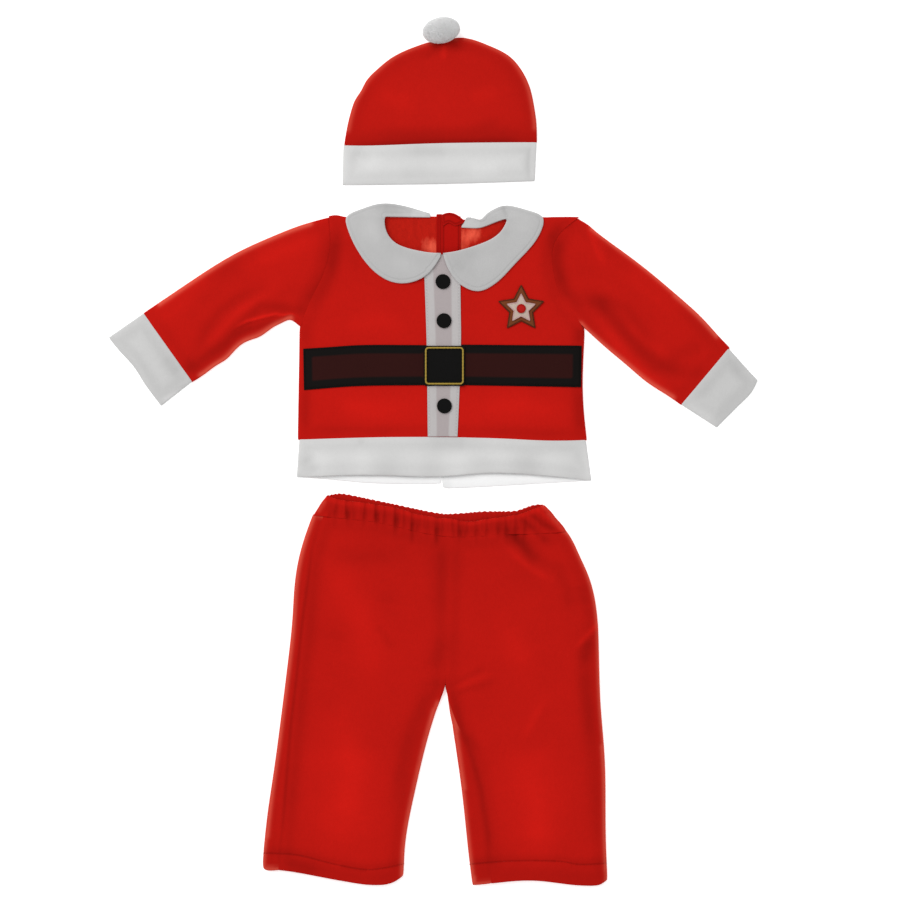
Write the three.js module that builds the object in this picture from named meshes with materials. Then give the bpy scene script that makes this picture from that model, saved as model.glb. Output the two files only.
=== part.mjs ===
// A red and white winter costume for a baby, laid flat: hat, back-opening top and trousers.
// Millimetres, +Z up. Each garment is built in a frame of its own and the set is centred on the surface.
import * as THREE from "three";

const { clamp, lerp, smoothstep } = THREE.MathUtils;

// ---------- Cloth ----------
const WALL = 1.6; // brushed red cloth
const TRIM_WALL = 2.0; // white trim, folded double
const AIR = 0.8; // space between the two layers at a fold
const BEND = WALL + AIR / 2; // outer radius of a fold in the red cloth
const TRIM_BEND = TRIM_WALL + 0.3; // outer radius of a fold in the trim
const PUFF = 1.6; // how far the upper layer stands above its folds
const PUFF_REACH = 22; // distance from a fold at which it stands so
const SEAM = 0.3; // clearance between two pieces
const HALF_SEAM = SEAM / 2;
const LAID_GAP = 0.4; // clearance under what lies on a panel
const STRIP = 1.0; // thickness of placket and belt
const COLLAR = 2.4; // thickness of the two-ply collar
const ROUNDING = 1.5; // width of the softened rim of a laid piece

// ---------- Places of the garments in the set ----------
const HAT_PLACE = { x: -2, y: 256 };
const TROUSERS_PLACE = { x: 3, y: -246 };

// ---------- Colours ----------
const RED = { color: 0xb8170f, roughness: 0.95, metalness: 0 };
const RED_BRUSHED = { color: 0xc8281c, roughness: 1, metalness: 0 };
const WHITE = { color: 0xd6d6d4, roughness: 0.95, metalness: 0 };
const BLACK = { color: 0x191817, roughness: 0.85, metalness: 0 };
const GOLD = { color: 0xb08c32, roughness: 0.45, metalness: 0.3 };
const BROWN = { color: 0x6e3a1c, roughness: 0.9, metalness: 0 };
const CREAM = { color: 0xd8c4bd, roughness: 0.9, metalness: 0 };

// ---------- Helpers: curves, plans and walls ----------

/** A smooth line through a table of rows, as a function of 0..1 by length. */
function edge(rows) {
  const points = rows.map((row) => new THREE.Vector3(row.x, row.y, 0));
  const curve = new THREE.CatmullRomCurve3(points, false, "centripetal");
  return (t) => curve.getPointAt(clamp(t, 0, 1));
}

/** The same rows by their number: row k of n lies at k / (n - 1). */
function byRow(rows, x, y) {
  const points = rows.map((row) => new THREE.Vector3(row[x], row[y], 0));
  const curve = new THREE.CatmullRomCurve3(points, false, "centripetal");
  return (t) => curve.getPoint(clamp(t, 0, 1));
}

/** Two edges end to end, the first taking a given share of 0..1. */
function joined(first, second, share) {
  return (t) => (t < share ? first(t / share) : second((t - share) / (1 - share)));
}

/** The stretch of an edge from one parameter to another. */
function stretch(whole, from, to) {
  return (t) => whole(lerp(from, to, t));
}

/** A plan filled in between four edges: start and end run with v, low and high run with u. */
function plan({ start, end, low, high }) {
  return (u, v) => {
    const point = new THREE.Vector3();
    point.addScaledVector(low(u), 1 - v).addScaledVector(high(u), v);
    point.addScaledVector(start(v), 1 - u).addScaledVector(end(v), u);
    point.addScaledVector(low(0), -(1 - u) * (1 - v)).addScaledVector(low(1), -u * (1 - v));
    point.addScaledVector(high(0), -(1 - u) * v).addScaledVector(high(1), -u * v);
    return point;
  };
}

/** A plan ruled straight across from one long edge to the other. */
function ruled(start, end) {
  return (u, v) => start(v).lerp(end(v), u);
}

/** Steps from a first value to each next one in its number of equal parts. */
function spread(first, ...legs) {
  const values = [first];
  for (const { to, steps } of legs) {
    const from = values.at(-1);
    for (let k = 1; k <= steps; k++) values.push(lerp(from, to, k / steps));
  }
  return values;
}

/** Soft ridges (height above zero) and troughs (below zero) along straight lines. */
function creases(rows) {
  return (x, y) => {
    let height = 0;
    for (const row of rows) {
      const run = new THREE.Vector2(row.toX - row.x, row.toY - row.y);
      const reach = new THREE.Vector2(x - row.x, y - row.y);
      const t = clamp(reach.dot(run) / run.lengthSq(), 0, 1);
      const away = reach.addScaledVector(run, -t).length() / row.width;
      height += row.height * Math.exp(-away * away);
    }
    return height;
  };
}

/** How far the upper layer stands up at distances a and b from its two folds. */
function crown(a, b) {
  return PUFF * smoothstep(a, BEND, PUFF_REACH) * smoothstep(b, BEND, PUFF_REACH);
}

/** The lengths that make up one side of a flat-laid section, from the fold or seam at u = 0 to that at u = 1. */
function sectionLengths(lay, v) {
  const quarter = (Math.PI / 2) * lay.bend;
  const width = lay.plan(0, v).distanceTo(lay.plan(1, v));
  const startFold = lay.startFold(v);
  const endFold = lay.endFold(v);
  const lead = startFold ? quarter : 0;
  const inset = startFold ? lay.bend : 0;
  const flat = width - inset - (endFold ? lay.bend : 0);
  return { quarter, width, startFold, endFold, lead, inset, flat, length: lead + flat + (endFold ? quarter : 0) };
}

/**
 * A point on the outer face of a flat-laid section, and the way across there. side is 1 on the upper
 * layer and -1 on the lower one; s is the distance from the fold at u = 0, and goes on round a fold.
 */
function sectionPoint(lay, v, side, s) {
  const { width, startFold, endFold, lead, inset, flat, length } = sectionLengths(lay, v);
  if (s < 0 && startFold) [side, s] = [-side, -s];
  if (s > length && endFold) [side, s] = [-side, 2 * length - s];
  s = clamp(s, 0, length);
  let along = inset + s - lead;
  let height = 1;
  if (s < lead) {
    along = lay.bend * (1 - Math.cos(s / lay.bend));
    height = Math.sin(s / lay.bend);
  } else if (s > lead + flat) {
    const turn = (s - lead - flat) / lay.bend;
    along = width - lay.bend * (1 - Math.sin(turn));
    height = Math.cos(turn);
  }
  const layer = side > 0 ? lay.plan : (lay.under ?? lay.plan);
  const point = layer(along / width, v);
  const rise = side > 0 ? lay.rise(point.x, point.y, along, width - along, v) : 0;
  point.z = lay.bend + height * (side * lay.bend + rise);
  const across = layer(clamp(along / width + 0.01, 0, 1), v).sub(layer(clamp(along / width - 0.01, 0, 1), v));
  return { point, across: across.normalize(), side };
}

/** The outer point and the inner one, a wall's thickness further in. */
function wallPair(lay, v, side, s) {
  const reach = 0.05;
  const here = sectionPoint(lay, v, side, s);
  const slope = sectionPoint(lay, v, side, s + reach).point.sub(sectionPoint(lay, v, side, s - reach).point);
  const outward = here.across.clone().multiplyScalar(-slope.z);
  outward.z += slope.dot(here.across);
  outward.multiplyScalar(side).normalize();
  return { outer: here.point, inner: here.point.clone().addScaledVector(outward, -lay.wall) };
}

/** A closed solid between two grids of points, its faces turned outwards. */
function shell(outer, inner, closed = false) {
  const rows = outer.length;
  const columns = outer[0].length;
  const at = (layer, i, j) => (layer * rows + i) * columns + (j % columns);
  const indices = [];
  const quad = (a, b, c, d) => indices.push(a, b, c, a, c, d);
  const spans = closed ? columns : columns - 1;
  for (let j = 0; j < spans; j++) {
    for (let i = 0; i < rows - 1; i++) {
      quad(at(0, i, j), at(0, i, j + 1), at(0, i + 1, j + 1), at(0, i + 1, j));
      quad(at(1, i, j), at(1, i + 1, j), at(1, i + 1, j + 1), at(1, i, j + 1));
    }
    quad(at(0, 0, j), at(1, 0, j), at(1, 0, j + 1), at(0, 0, j + 1));
    quad(at(0, rows - 1, j), at(0, rows - 1, j + 1), at(1, rows - 1, j + 1), at(1, rows - 1, j));
  }
  for (let i = 0; i < rows - 1 && !closed; i++) {
    const last = columns - 1;
    quad(at(0, i, 0), at(0, i + 1, 0), at(1, i + 1, 0), at(1, i, 0));
    quad(at(0, i, last), at(1, i, last), at(1, i + 1, last), at(0, i + 1, last));
  }
  const points = [...outer.flat(), ...inner.flat()];
  const geometry = new THREE.BufferGeometry().setFromPoints(points);
  let volume = 0;
  for (let k = 0; k < indices.length; k += 3) {
    const [a, b, c] = [points[indices[k]], points[indices[k + 1]], points[indices[k + 2]]];
    volume += a.dot(b.clone().cross(c));
  }
  geometry.setIndex(volume < 0 ? indices.reverse() : indices);
  return geometry;
}

/** One sub-part. */
function piece(name, geometry, look) {
  const mesh = new THREE.Mesh(geometry, new THREE.MeshStandardMaterial(look));
  mesh.name = name;
  return mesh;
}

/** A wall of cloth over one stretch of a section, row by row; ring closes it all the way round. */
function clothWall(name, look, lay, { side = 1, rows, stops, ring = false }) {
  const pairs = rows.map((v) => stops(sectionLengths(lay, v), v).map((s) => wallPair(lay, v, side, s)));
  const outer = pairs.map((row) => row.map((pair) => pair.outer));
  const inner = pairs.map((row) => row.map((pair) => pair.inner));
  return piece(name, shell(outer, inner, ring), look);
}

/** Stops all the way round a tube that has a fold on each side. */
function ringStops(topSteps, underSteps) {
  return ({ quarter, length }) =>
    spread(
      0,
      { to: quarter, steps: 2 },
      { to: length - quarter, steps: topSteps },
      { to: length + quarter, steps: 4 },
      { to: 2 * length - quarter, steps: underSteps },
      { to: 2 * length, steps: 2 },
    ).slice(0, -1);
}

/** A flat piece laid on a surface, which its underside follows; its rim is softened. */
function laidPiece(name, look, layout, surface, thickness, { steps, rows }) {
  const corner = layout(0, 0);
  const rimU = ROUNDING / Math.max(layout(0.5, 0.5).distanceTo(layout(0, 0.5)) * 2, 4 * ROUNDING);
  const rimV = ROUNDING / Math.max(layout(0.5, 1).distanceTo(corner), 4 * ROUNDING);
  const us = spread(0, { to: rimU, steps: 1 }, { to: 1 - rimU, steps }, { to: 1, steps: 1 });
  const vs = spread(0, { to: rimV, steps: 1 }, { to: 1 - rimV, steps: rows }, { to: 1, steps: 1 });
  const onRim = (t) => t === 0 || t === 1;
  const grid = (lift) =>
    vs.map((v) =>
      us.map((u) => {
        const point = layout(u, v);
        const full = onRim(u) || onRim(v) ? 0.6 : 1;
        point.z = surface(point.x, point.y, v) + lift * full;
        return point;
      }),
    );
  return piece(name, shell(grid(thickness), grid(0)), look);
}

const always = () => true;
const never = () => false;

// ---------- Hat: origin at the middle of the band's lower edge ----------
const CROWN_ROWS = [
  { y: 39.7, left: -96, right: 97 },
  { y: 60, left: -92.8, right: 97 },
  { y: 80, left: -87, right: 93.8 },
  { y: 92, left: -83.2, right: 91.5 },
  { y: 102, left: -75.5, right: 88 },
  { y: 110, left: -68, right: 84 },
  { y: 117, left: -60, right: 79.5 },
  { y: 124, left: -52, right: 74 },
  { y: 130, left: -42, right: 66.5 },
  { y: 134.5, left: -32, right: 58 },
  { y: 138.5, left: -21, right: 48.5 },
  { y: 142, left: -11, right: 40 },
  { y: 144.6, left: 8, right: 32 },
  { y: 145.6, left: 15, right: 26 },
];
const BAND_SEAM = [
  { x: -97, y: 38 },
  { x: -80, y: 37.3 },
  { x: 0, y: 40 },
  { x: 97, y: 41 },
];
const BAND_LOWER = [
  { x: -98, y: -1 },
  { x: 0, y: 0 },
  { x: 95, y: 3 },
];
const BAND_DEPTH = 40;
const POMPOM = { x: 1.5, y: 154, z: 10.8, long: 20, short: 13, high: 11.3, tilt: 0.2, core: 0.62 };
const POMPOM_DETAIL = 1; // 80 faces, a lock on each
const PUCKER = creases([{ x: 4, y: 141, toX: 5, toY: 130, width: 9, height: 1.6 }]);

function hatCrown() {
  const left = byRow(CROWN_ROWS, "left", "y");
  const right = byRow(CROWN_ROWS, "right", "y");
  const [lowest] = CROWN_ROWS;
  const seam = edge(BAND_SEAM);
  const level = ruled(left, right);
  const layout = (u, v) => {
    const point = level(u, v);
    const tilt = seam(u).y - lowest.y + SEAM;
    point.y += tilt * (1 - smoothstep(point.y, lowest.y, lowest.y + BAND_DEPTH));
    return point;
  };
  const rise = (x, y, a, b) => crown(a, b) * (1 - 0.7 * smoothstep(y, 120, 146)) + PUCKER(x, y);
  const lay = { plan: layout, bend: BEND, wall: WALL, startFold: always, endFold: always, rise };
  const rows = spread(0, { to: 1, steps: CROWN_ROWS.length - 1 });
  const front = ({ quarter, length }) =>
    spread(
      HALF_SEAM,
      { to: quarter, steps: 2 },
      { to: length - quarter, steps: 9 },
      { to: length - HALF_SEAM, steps: 2 },
    );
  const back = ({ quarter, length }) =>
    spread(
      HALF_SEAM,
      { to: quarter, steps: 2 },
      { to: length - quarter, steps: 4 },
      { to: length - HALF_SEAM, steps: 2 },
    );
  return [
    clothWall("hat_crown_front", RED, lay, { rows, stops: front }),
    clothWall("hat_crown_back", RED, lay, { side: -1, rows, stops: back }),
  ];
}

function hatBand() {
  const seam = edge(BAND_SEAM);
  const lower = edge(BAND_LOWER);
  const layout = plan({
    low: lower,
    high: seam,
    start: edge([lower(0), seam(0)]),
    end: edge([lower(1), seam(1)]),
  });
  const rise = (x, y, a, b) => crown(a, b);
  const lay = { plan: layout, bend: TRIM_BEND, wall: TRIM_WALL, startFold: always, endFold: always, rise };
  const rows = spread(0, { to: 1, steps: 2 });
  return clothWall("hat_band", WHITE, lay, { rows, stops: ringStops(10, 4), ring: true });
}

/** A plush ball: a core with one three-sided lock on each of its faces. */
function hatPompom() {
  const ball = new THREE.IcosahedronGeometry(1, POMPOM_DETAIL);
  const corners = ball.getAttribute("position");
  const points = [];
  const radii = new THREE.Vector3(POMPOM.long, POMPOM.short, POMPOM.high);
  const root = new THREE.Vector3();
  for (let k = 0; k < corners.count; k += 3) {
    const face = [0, 1, 2].map((n) => new THREE.Vector3().fromBufferAttribute(corners, k + n));
    const middle = face.reduce((sum, corner) => sum.add(corner), root.clone()).divideScalar(3);
    const foot = face.map((corner) => corner.clone().lerp(middle, 0.12));
    const length = 1 / POMPOM.core - 0.12 * (1 + Math.sin(7 * k));
    const tip = middle.clone().normalize().multiplyScalar(length);
    for (let n = 0; n < 3; n++) {
      const m = (n + 1) % 3;
      points.push(face[n], face[m], foot[m], face[n], foot[m], foot[n], foot[n], foot[m], tip);
    }
  }
  const placed = points.map((point) => point.clone().multiplyScalar(POMPOM.core).multiply(radii));
  const pompom = piece("hat_pompom", new THREE.BufferGeometry().setFromPoints(placed), WHITE);
  pompom.rotation.z = POMPOM.tilt;
  pompom.position.set(POMPOM.x, POMPOM.y, POMPOM.z);
  return pompom;
}

// ---------- Top: origin at the centre front, on the seam of the hem band ----------
const HEM_SEAM = [
  { x: -143, y: 0.5 },
  { x: -82, y: 2 },
  { x: 0, y: 3 },
  { x: 58, y: 1 },
  { x: 106, y: -1 },
  { x: 144, y: 0 },
];
const SIDE_LEFT = [
  { x: -143, y: 0.5 },
  { x: -142, y: 60 },
  { x: -141, y: 112 },
];
const SIDE_RIGHT = [
  { x: 144, y: 0 },
  { x: 139.5, y: 45 },
  { x: 142, y: 112 },
];
const ARMHOLE_LEFT = [
  { x: -141, y: 112 },
  { x: -130, y: 140 },
  { x: -117, y: 168 },
  { x: -111, y: 194 },
  { x: -113, y: 222.8 },
];
const ARMHOLE_RIGHT = [
  { x: 142, y: 112 },
  { x: 121, y: 138 },
  { x: 112, y: 163 },
  { x: 110, y: 193 },
  { x: 118, y: 208 },
  { x: 136, y: 222.5 },
];
const FRONT_TOP = [
  { x: -113, y: 222.8 },
  { x: -96, y: 222.5 },
  { x: -84, y: 221 },
  { x: -68, y: 213 },
  { x: -60, y: 202 },
  { x: -36, y: 188.5 },
  { x: 0, y: 182.5 },
  { x: 36, y: 189.5 },
  { x: 58, y: 200 },
  { x: 72, y: 215 },
  { x: 86, y: 220.5 },
  { x: 101, y: 222.2 },
  { x: 136, y: 222.5 },
];
const BACK_TOP_LEFT = [
  { x: -113, y: 222.8 },
  { x: -60, y: 222.1 },
  { x: -HALF_SEAM, y: 221.8 },
];
const BACK_TOP_RIGHT = [
  { x: 136, y: 222.5 },
  { x: 101, y: 222.5 },
  { x: 60, y: 222.3 },
  { x: 36, y: 219 },
  { x: HALF_SEAM, y: 221.8 },
];
const ARMPIT_SHARE = 0.45; // share of a side edge that lies below the armpit
const ARMHOLE_STEPS = 10;
const TOP_HALF_WIDTH = 142;
const ARMPIT_HEIGHT = 112;
const SHOULDER = { y: 207, drop: 0.05 }; // the layers close up towards the shoulder

const SLEEVE_LEFT = {
  upper: [
    { x: -113, y: 222.8 },
    { x: -134, y: 218 },
    { x: -158, y: 209 },
    { x: -182, y: 198 },
    { x: -206, y: 188 },
    { x: -230, y: 173 },
    { x: -298.4, y: 127 },
  ],
  lower: [
    { x: -141, y: 112 },
    { x: -157, y: 119 },
    { x: -172, y: 111 },
    { x: -204, y: 94 },
    { x: -219, y: 80 },
    { x: -249.4, y: 58 },
  ],
  cuff: [
    { x: -333, y: 103 },
    { x: -280, y: 34 },
  ],
};
const SLEEVE_RIGHT = {
  upper: [
    { x: 136, y: 222.5 },
    { x: 154, y: 208 },
    { x: 202, y: 173 },
    { x: 250, y: 131 },
    { x: 286.6, y: 92 },
  ],
  lower: [
    { x: 142, y: 112 },
    { x: 166, y: 90 },
    { x: 190, y: 71 },
    { x: 238.7, y: 35 },
  ],
  cuff: [
    { x: 315, y: 60 },
    { x: 306, y: 46 },
    { x: 274, y: 12.4 },
  ],
};
const SLEEVE_CREASES = creases([
  { x: -180, y: 149, toX: -214, toY: 134, width: 7, height: -1.1 },
  { x: -214, y: 134, toX: -246, toY: 92, width: 7, height: -1.1 },
  { x: -139, y: 130, toX: -214, toY: 106, width: 6, height: -1.1 },
  { x: -164, y: 124, toX: -207, toY: 112, width: 5, height: 1.8 },
  { x: -152, y: 160, toX: -202, toY: 122, width: 9, height: 1.6 },
  { x: 147, y: 132, toX: 190, toY: 89, width: 7, height: -1.1 },
  { x: 190, y: 89, toX: 232, toY: 62, width: 7, height: -1.0 },
  { x: 148, y: 210, toX: 159, toY: 175, width: 8, height: 1.8 },
  { x: 158, y: 142, toX: 198, toY: 100, width: 8, height: 1.5 },
]);

const COLLAR_LEFT_RIBS = [
  { innerX: -1.2, innerY: 186.5, outerX: -2, outerY: 182.5, onFront: 1 },
  { innerX: -12, innerY: 187, outerX: -14, outerY: 165, onFront: 1 },
  { innerX: -24, innerY: 189, outerX: -33, outerY: 156.5, onFront: 1 },
  { innerX: -36, innerY: 192, outerX: -52, outerY: 158, onFront: 1 },
  { innerX: -47, innerY: 197, outerX: -70, outerY: 170, onFront: 1 },
  { innerX: -54, innerY: 205, outerX: -85, outerY: 190, onFront: 1 },
  { innerX: -57, innerY: 214, outerX: -94, outerY: 210, onFront: 1 },
  { innerX: -57, innerY: 221.5, outerX: -96, outerY: 223.2, onFront: 1 },
  { innerX: -56, innerY: 222.8, outerX: -80, outerY: 231, onFront: 0.75 },
  { innerX: -52, innerY: 222.8, outerX: -60, outerY: 237, onFront: 0.3 },
  { innerX: -34, innerY: 222.6, outerX: -36, outerY: 234, onFront: 0 },
  { innerX: -12, innerY: 222.6, outerX: -12, outerY: 226.5, onFront: 0 },
];
const COLLAR_RIGHT_RIBS = [
  { innerX: 1.2, innerY: 186.5, outerX: 2, outerY: 182.5, onFront: 1 },
  { innerX: 12, innerY: 188, outerX: 7, outerY: 169, onFront: 1 },
  { innerX: 24, innerY: 191, outerX: 18, outerY: 155, onFront: 1 },
  { innerX: 36, innerY: 195, outerX: 37, outerY: 148, onFront: 1 },
  { innerX: 46, innerY: 199, outerX: 56, outerY: 158, onFront: 1 },
  { innerX: 53, innerY: 203, outerX: 73, outerY: 176, onFront: 1 },
  { innerX: 59, innerY: 209, outerX: 91, outerY: 195, onFront: 1 },
  { innerX: 61, innerY: 216, outerX: 100, outerY: 211, onFront: 1 },
  { innerX: 61.5, innerY: 220, outerX: 101, outerY: 223.2, onFront: 1 },
  { innerX: 60, innerY: 220.5, outerX: 84, outerY: 230, onFront: 0.8 },
  { innerX: 57, innerY: 219.5, outerX: 62, outerY: 235, onFront: 0.35 },
  { innerX: 46, innerY: 214.5, outerX: 48, outerY: 229, onFront: 0 },
  { innerX: 36, innerY: 211.5, outerX: 36, outerY: 222, onFront: 0 },
  { innerX: 24, innerY: 212.5, outerX: 24, outerY: 223.5, onFront: 0 },
];

const PLACKET_ROWS = [
  { y: 3.6, left: -14, right: 15.3 },
  { y: 20, left: -14.2, right: 16 },
  { y: 95, left: -15, right: 19 },
  { y: 125, left: -16, right: 18.5 },
  { y: 180, left: -18, right: 18 },
];
const BELT_LEFT = {
  upper: [
    { x: -138.4, y: 91 },
    { x: -115, y: 92.3 },
    { x: -84, y: 94.5 },
    { x: -15.6, y: 94.5 },
  ],
  lower: [
    { x: -137.6, y: 50 },
    { x: -86, y: 54 },
    { x: -15.4, y: 55 },
  ],
};
const BELT_RIGHT = {
  upper: [
    { x: 19.6, y: 95 },
    { x: 136.6, y: 94 },
  ],
  lower: [
    { x: 19.6, y: 55 },
    { x: 136, y: 53 },
  ],
};
const PLATE = { left: -18.2, right: 23, low: 54, high: 94, thickness: 1.2, corner: 2 };
const CORD = { radius: 1.1, inset: 3.2, corner: 4 };
const BUTTON = { radius: 7.5, thickness: 1.8 };
const BUTTONS = [
  { name: "button_top", x: 1, y: 158 },
  { name: "button_middle", x: 2, y: 119 },
  { name: "button_lower", x: 2.4, y: 34 },
];
const PATCH = { x: 79, y: 131, star: 24, inset: 15, dot: 4.6, ply: 1 };

const BACK_STRIPS = [
  { name: "back_placket_left", left: -5, right: -0.4, high: 225 },
  { name: "back_placket_right", left: 0.4, right: 18, high: 223 },
];
const BACK_STRIP_LOW = 4;
const TAB_RIBS = [
  { innerX: 1, innerY: 214, outerX: 0, outerY: 225 },
  { innerX: 7, innerY: 217.5, outerX: 6, outerY: 227 },
  { innerX: 13, innerY: 214, outerX: 14, outerY: 225.5 },
  { innerX: 21.5, innerY: 217, outerX: 22, outerY: 219.5 },
];

const HEM_FRONT_LOW = [
  { x: -145.5, y: -37 },
  { x: -102, y: -35.5 },
  { x: 13, y: -36 },
  { x: 36, y: -33 },
  { x: 58, y: -34 },
  { x: 118, y: -36.5 },
  { x: 149.5, y: -40.5 },
];
const HEM_BACK_LEFT_LOW = [
  { x: -145.5, y: -37 },
  { x: -104, y: -40 },
  { x: -77, y: -43 },
  { x: -HALF_SEAM, y: -44 },
];
const HEM_BACK_RIGHT_LOW = [
  { x: 149.5, y: -40.5 },
  { x: 98, y: -43.5 },
  { x: 38, y: -47 },
  { x: HALF_SEAM, y: -48.5 },
];
const HEM_DEPTH = 38;
const CUFF_DEPTH = 42;

const armholeLeft = edge(ARMHOLE_LEFT);
const armholeRight = edge(ARMHOLE_RIGHT);
const hemSeam = edge(HEM_SEAM);
const edgeLeft = joined(edge(SIDE_LEFT), armholeLeft, ARMPIT_SHARE);
const edgeRight = joined(edge(SIDE_RIGHT), armholeRight, ARMPIT_SHARE);
const CENTRE_SHARE = 0.498; // where the hem seam crosses the centre back

/** How far the top's front layer stands above its folds. */
function topRise(x, y) {
  const fromSide = TOP_HALF_WIDTH - Math.abs(x) + 1.2 * Math.max(0, y - ARMPIT_HEIGHT);
  const closing = SHOULDER.drop * clamp(y - SHOULDER.y, 0, 16);
  return PUFF * smoothstep(fromSide, BEND, PUFF_REACH) - closing;
}

/** Height of the front panel's outer face. */
const frontFace = (x, y) => 2 * BEND + topRise(x, y);

const belowArmpit = (v) => v <= ARMPIT_SHARE + 1e-6;
const bodyRows = spread(0, { to: ARMPIT_SHARE, steps: 4 }, { to: 1, steps: ARMHOLE_STEPS });

function topFront() {
  const layout = plan({ low: hemSeam, high: edge(FRONT_TOP), start: edgeLeft, end: edgeRight });
  const lay = { plan: layout, bend: BEND, wall: WALL, startFold: belowArmpit, endFold: belowArmpit };
  lay.rise = (x, y) => topRise(x, y);
  const stops = ({ quarter, length }) =>
    spread(
      HALF_SEAM,
      { to: quarter, steps: 1 },
      { to: length - quarter, steps: 16 },
      { to: length - HALF_SEAM, steps: 1 },
    );
  return clothWall("top_front", RED, lay, { rows: bodyRows, stops });
}

/** One back panel, from its side to the centre back. */
function topBack(name, sideEdge, upper, share) {
  const low = stretch(hemSeam, share.side, share.centre);
  const high = edge(upper);
  const layout = plan({ low, high, start: sideEdge, end: edge([low(1), high(1)]) });
  const lay = { plan: layout, bend: BEND, wall: WALL, startFold: belowArmpit, endFold: never, rise: () => 0 };
  const stops = ({ quarter, length }) =>
    spread(HALF_SEAM, { to: quarter, steps: 1 }, { to: length - HALF_SEAM, steps: 5 });
  return clothWall(name, RED_BRUSHED, lay, { side: -1, rows: bodyRows, stops });
}

/** A sleeve, a flat tube from the armhole to the cuff, and the cuff, a flat tube that goes on from it. */
function sleeve(name, cuffName, armhole, table) {
  const upper = edge(table.upper);
  const lower = edge(table.lower);
  const cuffSeam = edge([upper(1), lower(1)]);
  const rise = (x, y, a, b) => crown(a, b) + SLEEVE_CREASES(x, y) * smoothstep(Math.min(a, b), 2, 12);
  const folds = { startFold: always, endFold: always, rise };
  const arm = {
    plan: plan({ low: (u) => armhole(1 - u), high: cuffSeam, start: upper, end: lower }),
    bend: BEND,
    wall: WALL,
    ...folds,
  };
  const armLength = upper(0).distanceTo(upper(1));
  const armRows = spread((2 * SEAM) / armLength, { to: 1, steps: 7 });
  const outer = edge(table.cuff);
  const cuff = {
    plan: plan({
      low: cuffSeam,
      high: outer,
      start: edge([cuffSeam(0), outer(0)]),
      end: edge([cuffSeam(1), outer(1)]),
    }),
    bend: TRIM_BEND,
    wall: TRIM_WALL,
    ...folds,
  };
  const cuffRows = spread(SEAM / CUFF_DEPTH, { to: 1, steps: 2 });
  return [
    clothWall(name, RED, arm, { rows: armRows, stops: ringStops(ARMHOLE_STEPS, ARMHOLE_STEPS), ring: true }),
    clothWall(cuffName, WHITE, cuff, { rows: cuffRows, stops: ringStops(7, 3), ring: true }),
  ];
}

/** The front length of the hem band, and each back one. */
function hemBand() {
  const rows = spread(0, { to: 1 - SEAM / HEM_DEPTH, steps: 2 });
  const cloth = { bend: TRIM_BEND, wall: TRIM_WALL, startFold: always };
  const frontLow = edge(HEM_FRONT_LOW);
  const sideLeft = edge([frontLow(0), hemSeam(0)]);
  const sideRight = edge([frontLow(1), hemSeam(1)]);
  const front = {
    ...cloth,
    plan: plan({ low: frontLow, high: hemSeam, start: sideLeft, end: sideRight }),
    endFold: always,
    rise: (x, y, a, b) => crown(a, b),
  };
  const stops = ({ quarter, length }) =>
    spread(
      HALF_SEAM,
      { to: quarter, steps: 2 },
      { to: length - quarter, steps: 12 },
      { to: length - HALF_SEAM, steps: 2 },
    );
  const back = (name, table, side, from) => {
    const low = edge(table);
    const high = stretch(hemSeam, from, CENTRE_SHARE);
    const lay = {
      ...cloth,
      plan: plan({ low, high, start: side, end: edge([low(1), high(1)]) }),
      endFold: never,
      rise: () => 0,
    };
    const backStops = ({ quarter, length }) =>
      spread(HALF_SEAM, { to: quarter, steps: 2 }, { to: length - HALF_SEAM, steps: 6 });
    return clothWall(name, WHITE, lay, { side: -1, rows, stops: backStops });
  };
  return [
    clothWall("hem_front", WHITE, front, { rows, stops }),
    back("hem_back_left", HEM_BACK_LEFT_LOW, sideLeft, 0),
    back("hem_back_right", HEM_BACK_RIGHT_LOW, sideRight, 1),
  ];
}

/** Half of the collar, laid on the front, over the shoulder and behind the neck. */
function collarHalf(name, ribs) {
  const layout = ruled(byRow(ribs, "innerX", "innerY"), byRow(ribs, "outerX", "outerY"));
  const onFront = byRow(
    ribs.map((rib, k) => ({ k, onFront: rib.onFront })),
    "k",
    "onFront",
  );
  const surface = (x, y, v) => {
    const overPlacket = (STRIP + LAID_GAP) * (1 - smoothstep(Math.abs(x), 22, 36));
    const front = frontFace(x, y) + overPlacket + LAID_GAP;
    const behind = (WALL + SEAM) * (1 - smoothstep(y, 223, 230));
    return lerp(behind, front, clamp(onFront(v).y, 0, 1));
  };
  return laidPiece(name, WHITE, layout, surface, COLLAR, { steps: 2, rows: 2 * (ribs.length - 1) });
}

function frontStrips() {
  const onFront = (x, y) => frontFace(x, y) + LAID_GAP;
  const placket = ruled(byRow(PLACKET_ROWS, "left", "y"), byRow(PLACKET_ROWS, "right", "y"));
  const belt = (table) => {
    const upper = edge(table.upper);
    const lower = edge(table.lower);
    return (u, v) => lower(u).lerp(upper(u), v);
  };
  return [
    laidPiece("placket", WHITE, placket, onFront, STRIP, { steps: 1, rows: 6 }),
    laidPiece("belt_left", BLACK, belt(BELT_LEFT), onFront, STRIP, { steps: 9, rows: 1 }),
    laidPiece("belt_right", BLACK, belt(BELT_RIGHT), onFront, STRIP, { steps: 9, rows: 1 }),
  ];
}

const STRIP_TOP = 2 * BEND + PUFF + LAID_GAP + STRIP; // outer face of placket and belt at the centre

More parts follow.
